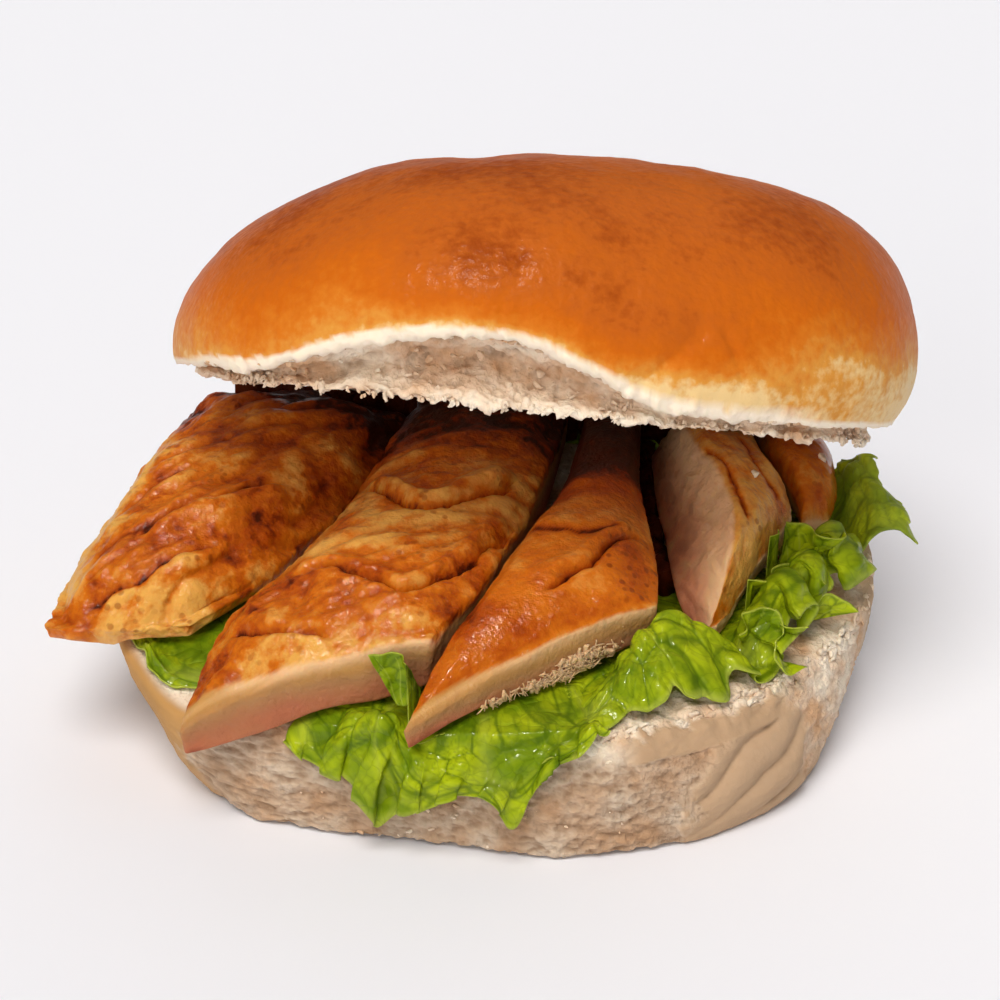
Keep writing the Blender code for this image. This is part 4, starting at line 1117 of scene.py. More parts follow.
def add_heel_bread():
    """The bottom half: torn crumb at the mouth, folded skin at the right, baked skin behind."""
    theta = columns_round(HEEL_COLUMNS)
    base, _, rim, height = heel_outline(theta)
    top = np.concatenate([np.linspace(0.08, 0.8, 12), np.linspace(0.83, 0.995, 16)])
    rows = [(share * rim, HEEL_TOP + (height - HEEL_TOP) * share**HEEL_DISH) for share in top]
    rows += [heel_side(theta, down) for down in np.linspace(0, 1, HEEL_ROWS)]
    rows += [(share * base, 0 * base) for share in (0.97, 0.9, 0.6, 0.25)]
    rows = np.array(rows)
    first, last = len(top), len(top) + HEEL_ROWS - 1
    inner = np.arange(1, len(rows) - 1)
    corners = np.exp(-(((inner - first) / 7.0) ** 2)) + np.exp(-(((inner - last) / 3.0) ** 2))
    pull = np.clip(corners, 0, 1)[:, None, None] * 0.5
    for _ in range(26):  # rounds off the rim and the foot
        rows[1:-1] += ((rows[:-2] + rows[2:]) / 2 - rows[1:-1]) * pull
    radius, height = rows.transpose(1, 0, 2)
    points, row = closed_rows(around(theta, radius, height), (0, 0, HEEL_TOP), (0, 0, 0))
    z = points[:, 2]
    degrees = np.mod(np.degrees(everywhere(theta, len(rows))), 360)
    turned = np.where(degrees < 100, degrees + 360, degrees)
    on_side = smooth(first - 4, first + 3, row) * smooth(last + 3, last - 1, row)
    on_top = 1 - smooth(first - 3, first + 2, row)
    # Skin covers the side from the right end of the torn front, round the back, to its left end.
    past = np.mod(degrees - 300, 360)
    past = np.where(past > 340, past - 360, past) + 300
    right_edge = np.interp(z, *np.array(HEEL_SKIN_EDGE).T)
    right_edge += 2.5 * grain(points, 3.0, 101) + 1.2 * grain(points, 1.0, 102)
    left_edge = HEEL_SKIN_LEFT + 3.5 * grain(points, 6.0, 106) + 2.0 * grain(points, 2.0, 103)
    skin = smooth(-1.0, 1.2, past - right_edge) * smooth(1.0, -1.0, past - left_edge) * (1 - on_top)
    ripped = window(turned + 5.0 * grain(points, 6.0, 107) + 2.0 * grain(points, 2.0, 105), *HEEL_RIPPED, 5)
    ripped *= smooth(3.0, 6.5, z + 2.0 * grain(points, 4.0, 104))
    skin *= 1 - ripped
    behind = smooth(370, 420, past) * (1 - on_top)
    tan = behind * (0.55 + 0.45 * smooth(2.0, 20.0, z)) * skin
    piece = add_piece("heel_bread", points, turned_faces(len(rows), HEEL_COLUMNS))
    points, normals = points_of(piece)
    torn = (1 - skin) * np.clip(on_side + on_top, 0, 1)
    unrolled = np.stack([np.radians(degrees) * 52, points[:, 2], np.hypot(points[:, 0], points[:, 1])], 1)
    # Crumb: wide flat holes in rows, with strands of wall between them that stay paler where painted shade
    # darkens the holes.
    near, next_near, _ = cells(unrolled, (3.0, 1.3, 6.0), 111)
    lines = unrolled + (0, 0.8, 0) * grain(unrolled, 7.0, 118)[:, None]
    crumb = 0.32 * fluff(lines, (2.4, 1.3, 5.0), 112, 5) - 0.14 * smooth(0.0, 0.30, next_near - near)
    crumb += 0.16 * fluff(points, 0.9, 113, 2)
    broad = 0.8 * grain(points, 11.0, 114)
    # The lip of the torn rim at the right: whiter, in bigger lumps, above a smooth cream flap.
    below_rim = np.interp(turned, *np.array(HEEL_RIM).T) - z
    fluffy = window(turned, *HEEL_FLUFFY, 12) * smooth(6.0, 1.5, below_rim + 1.5 * grain(points, 5.0, 119))
    flap = window(turned, *HEEL_FLAP, 6) * smooth(5.0, 4.4, below_rim + 1.1 * grain(points, 8.0, 120))
    flap *= smooth(0.7, 1.5, below_rim + fluff(points, 2.4, 121, 3))
    # Skin: folds that rise to the right, sharp in the valley and round on the ridge.
    climb = unrolled[:, 1] * 0.86 - unrolled[:, 0] * 0.50 + 2.2 * grain(points, 11.0, 115)
    folds = np.abs(np.sin(climb * math.pi / FOLD_PERIOD)) ** 0.5
    folded = window(turned, *HEEL_FOLDED, 10) * skin * on_side * smooth(0.5, 4.0, z) * (1 - flap)
    folded *= 0.45 + 0.55 * smooth(-0.3, 0.3, grain(points, 10.0, 122))
    wrinkles = 0.10 * fluff(unrolled, (2.0, 1.0, 4.0), 116, 3) + 0.25 * grain(points, 6.0, 123)
    relief = torn * (crumb + 0.5 * broad) * (1 - flap) + torn * fluffy * 0.55 * fluff(points, 2.6, 124, 4)
    relief += skin * (0.45 + wrinkles) * (1 - flap) + flap * (0.75 + 0.25 * grain(points, 6.0, 125))
    relief += folded * (folds * 1.5 - 1.0)
    relief += behind * (0.25 * broad + 0.06 * fluff(points, 2.0, 117, 2))
    relief *= smooth(last + 4, last - 6, row)
    points += normals * relief[:, None]
    points[:, 2] = np.maximum(points[:, 2], 0.0)
    # Painted shade: the torn face darkened all over, as where light grazes it, more in its holes and in the
    # valleys of the skin's folds, less on the fluffy lip and where the skin is ripped away.
    pit = torn * on_side * (0.52 + 0.40 * smooth(0.15, -0.45, crumb))
    pit = pit * (1 - 0.95 * fluffy) * (1 - 0.85 * ripped) + folded * smooth(0.45, 0.0, folds) * 0.6
    pit = np.clip(pit * (1 - flap), 0, 1)
    set_masks(piece, pit=pit, skin=np.maximum(skin, flap), tan=np.maximum(tan, 0.1 * flap))
    set_points(piece, points)
    return piece


def add_heel_shreds(bread):
    """Lumps of crumb that stand off the heel's torn face, most of them along its upper edge."""
    draw = np.random.default_rng(23)
    count = int(bread.shreds)
    few = count // 5
    theta = [draw.uniform(*HEEL_TORN_FACE, few), draw.uniform(*HEEL_TORN_RIM, count)]
    theta = np.radians(np.concatenate(theta))
    down = np.concatenate([draw.uniform(0.04, 0.95, few), draw.uniform(0.0, 0.12, count)])
    total = few + count
    radius, z = heel_side(theta, down)
    outward = around(theta, 1.0, 0.3) / math.hypot(1, 0.3)
    along = around(theta + math.pi / 2, 1.0, draw.uniform(-0.5, 0.5, total))
    thick = draw.uniform(0.22, 0.5, total) * np.where(np.arange(total) < few, 0.6, 1.3)
    sizes = np.stack([thick * draw.uniform(1.2, 2.6, total), thick, thick * 0.8], 1)
    points, faces = scraps(zip(around(theta, radius - 0.3, z), outward, along, sizes), 121)
    piece = add_piece("heel_shreds", points, faces)
    points[:, 2] = np.maximum(points[:, 2], 0.02)
    set_points(piece, points)
    return piece


# Filling --------------------------------------------------------------------------------------

DROP_FROM = 46.0  # height from which loose crumbs fall
# Shares of a slice's length between which it turns dark: painted shade, where the crown shades the back of
# the slices
PAINTED_SHADE_BACK = {"fillet_1": (0.74, 0.97), "fillet_2": (0.74, 0.97), "fillet_3": (0.48, 0.85)}
SCORCHED_TIP = (-68.0, -23.0)  # on the first slice, in plan
SPECKLED_EDGE = (20.5, -25.0)  # on the third slice, in plan
FLAKES = (  # where fibres fray from a cut: the piece, middle and spread of (across, up), how many
    ("fillet_3", (0.72, 0.24), (0.06, 0.12), 150),
    ("fillet_3", (0.58, 0.14), (0.07, 0.10), 110),
    ("fillet_3", (0.42, 0.06), (0.07, 0.06), 40),
)
CURLS = (  # a curl of leaf edge: foot, the way it grows, the way its face looks, width, height, waves, turn
    ((46.0, -8.5, 25.5), (0.12, 0.02, 1.0), (0.15, -1.0, 0.25), 13.0, 10.0, 1.15, 0.3),
    ((43.0, -15.5, 24.0), (0.15, -0.20, 1.0), (0.1, -1.0, 0.35), 14.0, 7.6, 0.95, 2.2),
    ((47.0, -17.0, 23.5), (0.40, -0.55, 0.8), (0.3, -0.8, 0.7), 12.0, 6.2, 0.8, 4.3),
    ((39.0, -26.5, 23.5), (0.12, -0.30, 1.0), (0.3, -1.0, 0.2), 11.0, 6.8, 1.1, 1.1),
    ((41.5, -28.5, 22.5), (0.45, -0.60, 0.6), (0.3, -0.8, 0.6), 10.0, 5.6, 1.0, 5.2),
    ((-13.5, -45.5, 24.0), (-0.06, 0.04, 1.0), (0.15, -1.0, 0.2), 9.0, 9.5, 0.8, 0.6),
)
# Where a loose crumb has fallen on a slice, in plan, its size, and the way it lies in radians
CRUMB_DROPS = ((40.0, -2.0, 0.8, 2.0), (52.0, 12.0, 0.8, 9.0))


def fillet_form(name):
    """A function from (a, b, c), along, across and up the piece, to its surface and folds."""
    piece = FILLETS[name]
    columns = [np.array(column, float) for column in zip(*piece["stations"])]
    top_left, top_right = columns[:2]
    if len(columns) == 3:
        drop = columns[2]
        bottom_left = top_left - np.outer(drop[:, 0], (0, 0, 1)) + (0.6, 0.8, 0)
        bottom_right = top_right - np.outer(drop[:, 1], (0, 0, 1)) + (-0.6, 0.8, 0)
    else:
        bottom_left, bottom_right = columns[2:]
    stations = np.linspace(0, 1, len(top_left))

    def form(a, b, c):
        rails = [through(stations, rail, a) for rail in (bottom_left, bottom_right, top_left, top_right)]
        across, up = b[:, None], c[:, None]
        bottom = rails[0] * (1 - across) + rails[1] * across
        top = rails[2] * (1 - across) + rails[3] * across
        top[:, 2] += piece["crown"] * (1 - (2 * b - 1) ** 2)
        edge = np.minimum(np.minimum(b, 1 - b), np.minimum(a, 1 - a) * 1.6)
        top[:, 2] -= piece["round"] * np.exp(-((edge / FILLET_SHOULDER) ** 2))
        top[:, 2] -= FILLET_GRAIN[name][3] * np.exp(-((edge / FILLET_SLUMP) ** 2))
        wander = np.stack([grain(top, 6.0, 131), grain(top, 6.0, 132)], 1) * 0.7
        wander += np.stack([grain(top, 2.0, 133), grain(top, 2.0, 134)], 1) * 0.25
        fold = np.zeros(len(a))
        for line, width, depth, left, right in FILLET_FOLDS[name]:
            away, side, along = beside_line(top[:, :2] + wander, line)
            ends = smooth(0.0, 0.15, along) * smooth(1.0, 0.85, along)
            reach = ends * np.exp(-away / width)
            swell = np.where(side > 0, left, right) * np.exp(-((away / FOLD_SWELL - 1) ** 2)) * ends
            top[:, 2] += swell - depth * reach
            fold = np.maximum(fold, reach)
        top[:, 2] += FILLET_UNEVENNESS * bumps(top, 8.0, 11)
        bottom[:, 2] = np.maximum(bottom[:, 2], support_under_fillets(*bottom.T[:2]))
        top[:, 2] = np.minimum(top[:, 2], roof_over_fillets(*top.T[:2]))
        top[:, 2] = np.maximum(top[:, 2], bottom[:, 2] + FILLET_LEAST_THICKNESS)
        return bottom * (1 - up) + top * up, fold

    return form


def fillet_masks(name, points, fold, place, size, drop, direction):
    """A slice's masks: where it is cut, and how dark, pale and pink it is. `place` holds the shares
    along, across and up, `size` the piece's measures and `drop` the depth below its top."""
    a, b, c = place
    along, across = a * size[0], b * size[1]
    upward = smooth(0.25, 0.85, direction[:, 2])
    nibbled = 0.5 * grain(points, 2.4, 141) + 0.25 * grain(points, 0.9, 142)
    lean_back = FILLET_GRAIN[name][4] * smooth(0.6, 0.05, b)
    mouth_cut = smooth(-1.0, 0.2, drop + lean_back - along + nibbled)
    side_cut = smooth(0.2, 1.5, drop - 0.9 + nibbled) * (1 - upward)
    cut = np.maximum(mouth_cut, side_cut)
    below = drop + lean_back * smooth(3.0, 0.5, along)
    pink = 0.08 + 0.60 * smooth(0.6, 8.0, below)
    pale = smooth(4.0, 0.5, along - drop) * 0.5
    if name in PAINTED_SHADE_BACK:  # darker towards the back: painted shade under the crown
        fold = np.maximum(fold, smooth(*PAINTED_SHADE_BACK[name], a))
    if name == "fillet_1":
        cut = 0.25 * side_cut
        off_tip = np.linalg.norm(points[:, :2] - SCORCHED_TIP, axis=1)
        fold = np.maximum(fold, 0.6 * smooth(8.0, 2.0, off_tip))
        left_edge = smooth(15.0, 5.0, across + 3.5 * grain(points, 5.0, 144)) * smooth(0.85, 0.5, a)
        tip = smooth(9.0, 3.0, along + 3.0 * grain(points, 5.0, 145)) * smooth(0.25, 0.5, b)
        pale = np.maximum(left_edge, 0.8 * tip)
    if name == "fillet_2":
        pink += 0.5 * smooth(0.10, 0.02, b) * smooth(7.0, 9.5, below)
        tip = smooth(13.0, 6.0, along + 3.0 * grain(points, 6.0, 144))
        pale = np.maximum(pale, 0.7 * tip * smooth(0.05, 0.3, b))
    if name == "fillet_3":
        pink += 0.45 * smooth(0.42, 0.1, b) * smooth(3.5, 7.5, below)
    # Paler glaze over the middle of the second and third slices: painted light, which lifts the crown's
    # shadow there.
    if name in ("fillet_2", "fillet_3"):
        pale = np.maximum(pale, 0.45 * smooth(0.3, 0.5, a) * smooth(0.85, 0.7, a))
    if name == "fillet_4":  # this slice stands on its edge, with a cut on either side
        sideways = direction[:, 1]
        cut = np.maximum(smooth(0.3, 0.9, 0.3 * nibbled - sideways), smooth(0.25, 0.8, sideways))
        cut = np.maximum(cut, mouth_cut * (1 - upward))
        pink = np.where(b < 0.4, 0.45 + 0.35 * smooth(0.95, 0.2, c), 0.15)
        pink += 0.30 * grain(points, 6.0, 143) + 0.25 * fluff(points, (1.2, 2.0, 5.0), 146, 2)
        pink = np.clip(pink, 0, 0.85)
        # The glaze of this slice is made paler: painted light, which lifts the crown's shadow on it.
        pale = np.where(cut > 0.5, 0.10 + 0.60 * smooth(0.15, 0.85, c), 0.70)
    else:
        pale = pale * (1 - cut * smooth(0.3, 3.0, below))
    return cut, fold, pink, pale


def add_fillet_piece(name, filling):
    """One slice: a block of cells with rounded edges bent to the piece, folded, roped and cut."""
    share, faces = block_lattice(FILLET_MESH[name])
    low, high = (np.array(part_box(name)[k]) / MM for k in (0, 1))
    size = (high - low)[[1, 0, 2]] * (1.0, 1.0, 0.55)
    rounding = filling.rounding / MM
    flat = share * size
    core = np.clip(flat, rounding, size - rounding)
    off = flat - core
    length = np.linalg.norm(off, axis=1, keepdims=True)
    direction = off / np.maximum(length, 1e-9)
    a, b, c = ((core + direction * np.minimum(length, rounding)) / size).T
    form = fillet_form(name)
    points, fold = form(a, b, c)
    drop = (form(a, b, np.ones_like(c))[0] - points)[:, 2]
    cut, fold, pink, pale = fillet_masks(name, points, fold, (a, b, c), size, drop, direction)
    piece = add_piece(name + "_meat", points, faces)
    points, normals = points_of(piece)
    angle, ropes, rough = FILLET_GRAIN[name][:3]
    cos, sin = math.cos(math.radians(angle)), math.sin(math.radians(angle))
    run, over = points[:, 0] * cos + points[:, 1] * sin, points[:, 1] * cos - points[:, 0] * sin
    streaks = np.stack([run, over, points[:, 2]], 1)
    # Ropes of muscle: round on top, with narrow valleys between them.
    rope = 1.6 * np.abs(grain(streaks, (17.0, 5.0, 9.0), 151)) ** 0.8 - 0.45
    rope += 0.35 * grain(streaks, (7.0, 1.8, 4.0), 152)
    beads = smooth(0.75, 0.1, cells(streaks, (1.9, 1.2, 1.4), 158)[0]) - 0.4
    wrinkle = fluff(streaks, (3.2, 1.1, 2.0), 153, 3)
    blisters = np.maximum(grain(points, 2.4, 154), 0) ** 2
    fibres = fluff(np.stack([points @ FIBRE_WAY, over, run * 0.3], 1), (7.0, 0.8, 3.0), 155, 3)
    relief = (1 - cut) * (ropes * rope + rough * (0.8 * wrinkle + 0.9 * beads + 1.4 * blisters))
    relief += cut * (0.13 * fibres + 0.14 * grain(points, 3.0, 156)) * (2.2 if name == "fillet_4" else 1.0)
    relief *= 1 - 0.8 * smooth(0.25, 0.06, c)  # the underside is smoother
    points += normals * relief[:, None]
    char = smooth(0.0, 0.7, grain(points, 7.0, 157) + 0.15) * 0.6
    if name == "fillet_3":
        off_edge = (points[:, :2] - SPECKLED_EDGE) * (1.0, 0.8)
        char = np.maximum(0.5 * char, smooth(8.0, 4.0, np.linalg.norm(off_edge, axis=1)))
    rope = np.clip(rope * min(1.0, ropes * 1.3) + 1.2 * rough * wrinkle, -1, 1)
    set_masks(piece, cut=cut, fold=fold, pink=pink, pale=pale, rope=rope, char=char * (1 - cut),
              mottle=np.full(len(points), FILLET_GRAIN[name][5]))
    set_points(piece, points)
    return piece


def add_flakes():
    """Fibres that fray from the cut faces, where the slice tore instead of parting cleanly."""
    draw = np.random.default_rng(31)
    lumps = []
    for name, middle, spread, count in FLAKES:
        across = np.clip(draw.normal(middle[0], spread[0], count), 0.05, 0.95)
        up = np.clip(np.abs(draw.normal(middle[1], spread[1], count)), 0.02, 0.8)
        form = fillet_form(name)
        at = form(np.zeros(count), across, up)[0]
        beside = form(np.zeros(count), across + 0.01, up)[0] - at
        rise = form(np.zeros(count), across, up + 0.01)[0] - at
        out = np.cross(beside, rise)
        out *= -np.sign(out[:, 1:2])
        out, beside, rise = (v / np.linalg.norm(v, axis=1, keepdims=True) for v in (out, beside, rise))
        for k in range(count):
            strand = draw.random() < 0.75
            thick = draw.uniform(0.07, 0.15) if strand else draw.uniform(0.22, 0.50)
            spot = at[k] + out[k] * draw.uniform(0.0, 0.7 if strand else 0.3)
            way = beside[k] * draw.normal(0.6, 0.8)
            way = way + rise[k] * draw.normal(-0.5, 0.7) + out[k] * draw.uniform(0, 0.6)
            long = draw.uniform(5, 11) if strand else draw.uniform(1.3, 2.6)
            lumps.append((spot, out[k], way, (thick * long, thick, thick * 0.8)))
    points, faces = scraps(lumps, 171)
    piece = add_piece("fillet_3_flakes", points, faces)
    ones = np.ones(len(points))
    set_masks(piece, cut=ones, pink=0.34 * ones, pale=0.6 * ones)
    set_points(piece, points)
    return piece


def add_painted_shade_scraps():
    """Dark trimmings behind the slices, which close the back of the roll: painted shade, a dark mass put
    where the inside of the roll lies in shade.
    """
    x = np.linspace(-43.0, 47.0, 24)
    y = 42.5 - 0.0045 * x**2 + 0.8 * grain(np.stack([x, 0 * x, 0 * x], 1), 4.0, 181)
    floor, roof = support_under_fillets(x, y), roof_over_fillets(x, y)
    tall = np.maximum((roof - floor) / 2 + 0.9, 1.0)
    row = np.stack([x, y, (roof + floor) / 2 + 0.2], 1)
    # A few more lie at the back of the gap between the third and fourth slices, as painted shade in that gap.
    gap_y = np.linspace(-9.0, 32.0, 12)
    gap_x = np.interp(gap_y, (-18.0, -8.0, 0.0, 10.0, 30.0), (26.2, 25.3, 25.0, 24.8, 25.2))
    gap = np.stack([gap_x, gap_y, support_under_fillets(gap_x, gap_y) - 0.2], 1)
    up = np.array((0.0, 0.0, 1.0))
    lumps = [(spot, up, np.array((1.0, 0.1, 0.0)), (3.4, 2.6, half)) for spot, half in zip(row, tall)]
    lumps += [(spot, up, np.array((0.0, 1.0, 0.0)), (3.2, 1.7, 2.4)) for spot in gap]
    points, faces = scraps(lumps, 182)
    piece = add_piece("painted_shade_scraps", points, faces)
    # Darkest on the side towards the mouth and paler behind: painted shade.
    set_masks(piece, fold=1 - 0.5 * smooth(40.5, 43.5, points[:, 1]), mottle=np.full(len(points), 0.6))
    set_points(piece, points)
    return piece


def fillet_tree():
    """One search tree over the fillet solids, in mm."""
    corners, faces = [], []
    for name in FILLETS:
        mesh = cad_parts[name].data
        first = len(corners)
        corners += [v.co / MM for v in mesh.vertices]
        faces += [[first + i for i in p.vertices] for p in mesh.polygons]
    return BVHTree.FromPolygons(corners, faces)


def press_under(points, solids):
    """Lowers leaf points so that the leaf clears the underside of any fillet piece above them."""
    up = Vector((0, 0, 1))
    probes = ((0, 0), (PRESS_REACH, 0), (0, PRESS_REACH), (-PRESS_REACH, 0), (0, -PRESS_REACH))
    for point in points:
        for x, y in probes:
            hit = solids.ray_cast(Vector((point[0] + x, point[1] + y, 0.0)), up)[0]
            if hit is not None:
                point[2] = min(point[2], hit.z - LEAF_THICKNESS - GAP)
    return points


def rest_on_heel(points, margin):
    """Lifts leaf points onto the bread, up to a margin past its rim."""
    x, y, z = points.T
    over_bread = np.hypot(x, y) < heel_outline(np.arctan2(y, x))[2] + margin
    points[:, 2] = np.where(over_bread, np.maximum(z, leaf_support(x, y)), z)


def leaf_sheet(leaf, u, v, frill):
    """The leaf's underside: its bed, ruffled more and more towards the free edge."""
    height, waves = leaf["ruffle"]
    step = 1e-3
    bed = sum(leaf_bed(leaf, u, np.maximum(v + shift, 0)) for shift in (-0.10, -0.05, 0.0, 0.05, 0.10)) / 5
    along = leaf_bed(leaf, u + step, v) - leaf_bed(leaf, u, v)
    inward = np.maximum(v, step)
    across = leaf_bed(leaf, u, inward - step) - leaf_bed(leaf, u, inward)
    normal = np.cross(along, across)
    normal /= np.linalg.norm(normal, axis=1, keepdims=True)
    normal *= np.sign(normal[:, 2:] + 1e-9)
    along /= np.linalg.norm(along, axis=1, keepdims=True)
    free = np.clip((v - LEAF_LYING_SHARE) / (1 - LEAF_LYING_SHARE), 0, 1.2)
    degrees = leaf_angle(leaf, u)
    lively = 1 - 0.92 * window(degrees, *leaf.get("calm", (0, 1)), 8.0)
    drift = bumps(bed, 14.0, 21)
    phase = 2 * np.pi * (waves * u + 0.45 * drift + 0.25 * free)
    lift = height * free**1.2 * np.sin(phase) * lively
    lift += 0.22 * height * free**3 * np.sin(2.6 * phase + 4.0 * drift) * lively
    rumple = grain(bed, (4.5, 4.5, 7.0), 201) + 0.5 * free * grain(bed, 2.2, 202)
    lift += frill * free**2 * rumple * (0.35 + 0.65 * lively) + 0.8 * free * grain(bed, 9.0, 203)
    slip = -1.25 * height * free**2 * np.sin(2 * phase) * lively
    at = bed + normal * lift[:, None] + along * slip[:, None]
    rest_on_heel(at, 1.0)
    return at, normal


def add_leaf_piece(name, leaves, solids):
    """A leaf: a thin closed sheet with blisters between its veins and a nibbled, frilled edge."""
    leaf = LEAVES[name]
    share, faces = block_lattice((*LEAF_MESH[name], 1))
    u, v, side = share.T
    low, high = leaf.get("overlap", (0.0, 1.0))
    u = low + u * (high - low)
    arc = np.stack([u * 60, 0 * u, 0 * u], 1)
    nibble = 0.07 * grain(arc, 6.0, 211) + 0.035 * grain(arc, 2.6, 212)
    reach = v * (1 - np.clip(0.04 + nibble, -0.05, 0.3) * smooth(0.3, 1.0, v))
    points, normal = leaf_sheet(leaf, u, reach, leaves.frill / MM)
    # Ribs fan out from the base of the leaf, a net of veins joins them, and the leaf puffs up between.
    span = np.radians(leaf["sections"][-1][0] - leaf["sections"][0][0]) * 50
    flat = np.stack([u * span, reach * 26.0, 0 * u], 1)
    flat += 2.6 * np.stack([grain(flat, 10.0, 221), grain(flat, 10.0, 225), 0 * u], 1)
    near, next_near, number = cells(flat, (5.2, 6.4, 1.0), 222)
    gap = next_near - near
    near, next_near, small_number = cells(flat + 3.1, (2.1, 2.3, 1.0), 223)
    small_gap = next_near - near
    # This mask marks the grooves between the blisters, which the finish darkens: partly vein colour, partly
    # painted shade.
    vein = np.exp(-((gap / 0.07) ** 2)) + 0.5 * np.exp(-((small_gap / 0.09) ** 2))
    spread = (flat[:, 0] - 6.0 * reach * np.sin(flat[:, 0] * 0.21)) / RIB_SPACING
    off_rib = (spread - np.rint(spread)) * RIB_SPACING
    rib = np.exp(-((off_rib / (0.8 - 0.55 * reach)) ** 2)) * smooth(0.95, 0.6, reach)
    rib *= 0.4 + 0.6 * smooth(-0.2, 0.4, grain(flat, 8.0, 226))
    # The whole side leaf gets the paler rib colour: painted light, which lifts the crown's shadow on it.
    if name == "lettuce_side":
        rib = np.maximum(rib, 0.45 + 0.2 * grain(flat, 5.0, 227))
    puff = (0.35 + 0.9 * number) * smooth(0.0, 0.8, gap) ** 0.8 - 0.35
    puff += 0.30 * (small_number - 0.2) * smooth(0.0, 0.7, small_gap) - 0.5 * rib
    room = 0.10 + 0.90 * smooth(0.25, 0.5, v)
    points += normal * (puff * leaves.puff / MM * room)[:, None]
    rest_on_heel(points, 0.6)
    points = press_under(points, solids)
    thickness = leaves.thickness / MM * (1 - 0.55 * smooth(0.75, 1.0, v))
    points += normal * (side * thickness)[:, None]
    piece = add_piece(name + "_leaf", points, faces)
    set_masks(piece, vein=np.clip(vein, 0, 1), rib=rib, rim=smooth(0.97, 1.0, v) * 0.8)
    set_points(piece, points)
    return piece


def add_curls(leaves, solids):
    """The leaf's tight curls at the right, each a fan whose edge is too long for its foot."""
    share, block_faces = block_lattice((72, 28, 1))
    u, v, side = share.T
    curls, faces, veins, ribs = [], [], [], []
    for k, (foot, growth, face, width, height, waves, turn) in enumerate(CURLS):
        growth = np.array(growth) / np.linalg.norm(growth)
        face = np.array(face) - growth * (np.array(face) @ growth)
        face /= np.linalg.norm(face)
        wide = np.cross(face, growth)
        fan = width * (0.35 + 0.65 * v**0.8)
        wave = 2 * np.pi * waves * u + turn
        wave += 0.8 * grain(np.stack([u * 9, v * 4 + 7 * k, 0 * u], 1), 3.0, 231)
        deep = 2.5 * v**1.2 * np.sin(wave) + 0.22 * height * v**2 * (0.6 + 0.4 * math.cos(turn))
        slip = -0.9 * v**2 * np.sin(2 * wave)
        points = foot + np.outer(height * v * (1 - 0.12 * v), growth)
        points += np.outer(fan * (u - 0.5) + slip, wide) + np.outer(deep, face)
        flat = np.stack([fan * u * 1.4 + 40 * k, height * v, 0 * u], 1)
        near, next_near, number = cells(flat, (3.4, 3.8, 1.0), 232)
        gap = next_near - near
        puff = 0.45 * smooth(0, 0.7, gap) * (0.3 + number) + 0.3 * grain(points, 2.5, 233)
        points = press_under(points + np.outer(puff, face), solids)
        points += np.outer(side * leaves.thickness / MM * (1 - 0.5 * smooth(0.7, 1.0, v)), face)
        spread = (u - 0.5) * 5 + 0.25 * np.sin(v * 5 + k)
        off_rib = spread - np.rint(spread)
        veins.append(np.exp(-((gap / 0.06) ** 2)))
        ribs.append(np.exp(-((off_rib / (0.10 * (1.1 - v))) ** 2)) * (v < 0.9) * 0.7)
        faces += [[i + k * len(points) for i in corner] for corner in block_faces]
        curls.append(points)
    points = np.concatenate(curls)
    piece = add_piece("lettuce_curls", points, faces)
    rim = np.tile(smooth(0.95, 1.0, v) * 0.8, len(CURLS))
    set_masks(piece, vein=np.concatenate(veins), rib=np.concatenate(ribs), rim=rim)
    set_points(piece, points)
    return piece


def add_loose_crumbs(solids):
    """Crumbs that have dropped from the crown, each resting on the slice that lies under it."""
    lumps = []
    for x, y, size, turn in CRUMB_DROPS:
        spot, normal = solids.ray_cast(Vector((x, y, DROP_FROM)), Vector((0, 0, -1)))[:2]
        if spot is None:
            raise RuntimeError(f"No slice lies under the loose crumb at {x}, {y}")
        spot, normal = np.array(spot), np.array(normal)
        sizes = (size, size * 0.7, size * 0.6)
        lumps.append((spot + normal * size * 0.35, normal, around(turn, 1.0, 0.1), sizes))
    points, faces = scraps(lumps, 161)
    piece = add_piece("loose_crumbs", points, faces)
    set_points(piece, points)
    return piece


# What a user can change -----------------------------------------------------------------------


def colour_of(name, hex_colour, description):
    """A colour setting with its default given as sRGB hex."""
    return FloatVectorProperty(
        name=name, description=description, default=linear(hex_colour), subtype="COLOR", min=0.0, max=1.0
    )


def number_of(name, default, description, **kind):
    """A setting that is a number from 0 up."""
    return FloatProperty(name=name, description=description, default=default, min=0.0, **kind)


def length_of(name, millimetres, description):
    """A length setting with its default given in mm."""
    return number_of(name, millimetres * MM, description, unit="LENGTH")


class BreadSettings(bpy.types.PropertyGroup):
    """Crust and crumb of the roll"""

    crust_top: colour_of("Crust, top", "#b95c1a", "Colour where the oven browned the crown most")
    crust_middle: colour_of("Crust, shoulder", "#c66312", "Colour of the crown's shoulder")
    crust_side: colour_of("Crust, side", "#cf7420", "Colour of the crown's side")
    crust_foot: colour_of("Crust, foot", "#d7943f", "Colour just above the torn edge")
    crumb: colour_of("Crumb", "#f4e4cf", "Colour of the torn crumb")
    crumb_shade: colour_of("Crumb, thick", "#d9ae88", "Colour of denser patches of crumb")
    # Painted shade: the crumb's colour in its holes, in the folds of the heel's skin and over the heel's torn
    # front.
    crumb_pit: colour_of("Crumb, holes", "#94755a", "Colour down in the crumb's holes")
    skin: colour_of("Side skin", "#b99b7d", "Colour of the thin pale skin on the heel's side")
    tan: colour_of("Baked side", "#b98b52", "Colour of the heel's baked skin")
    lip: length_of("Lip thickness", 2.1, "Thickness of the crown's torn lip")
    shreds: IntProperty(name="Shreds", description="Shreds of crumb along the crown's torn foot",
                        default=260, min=20, max=600)


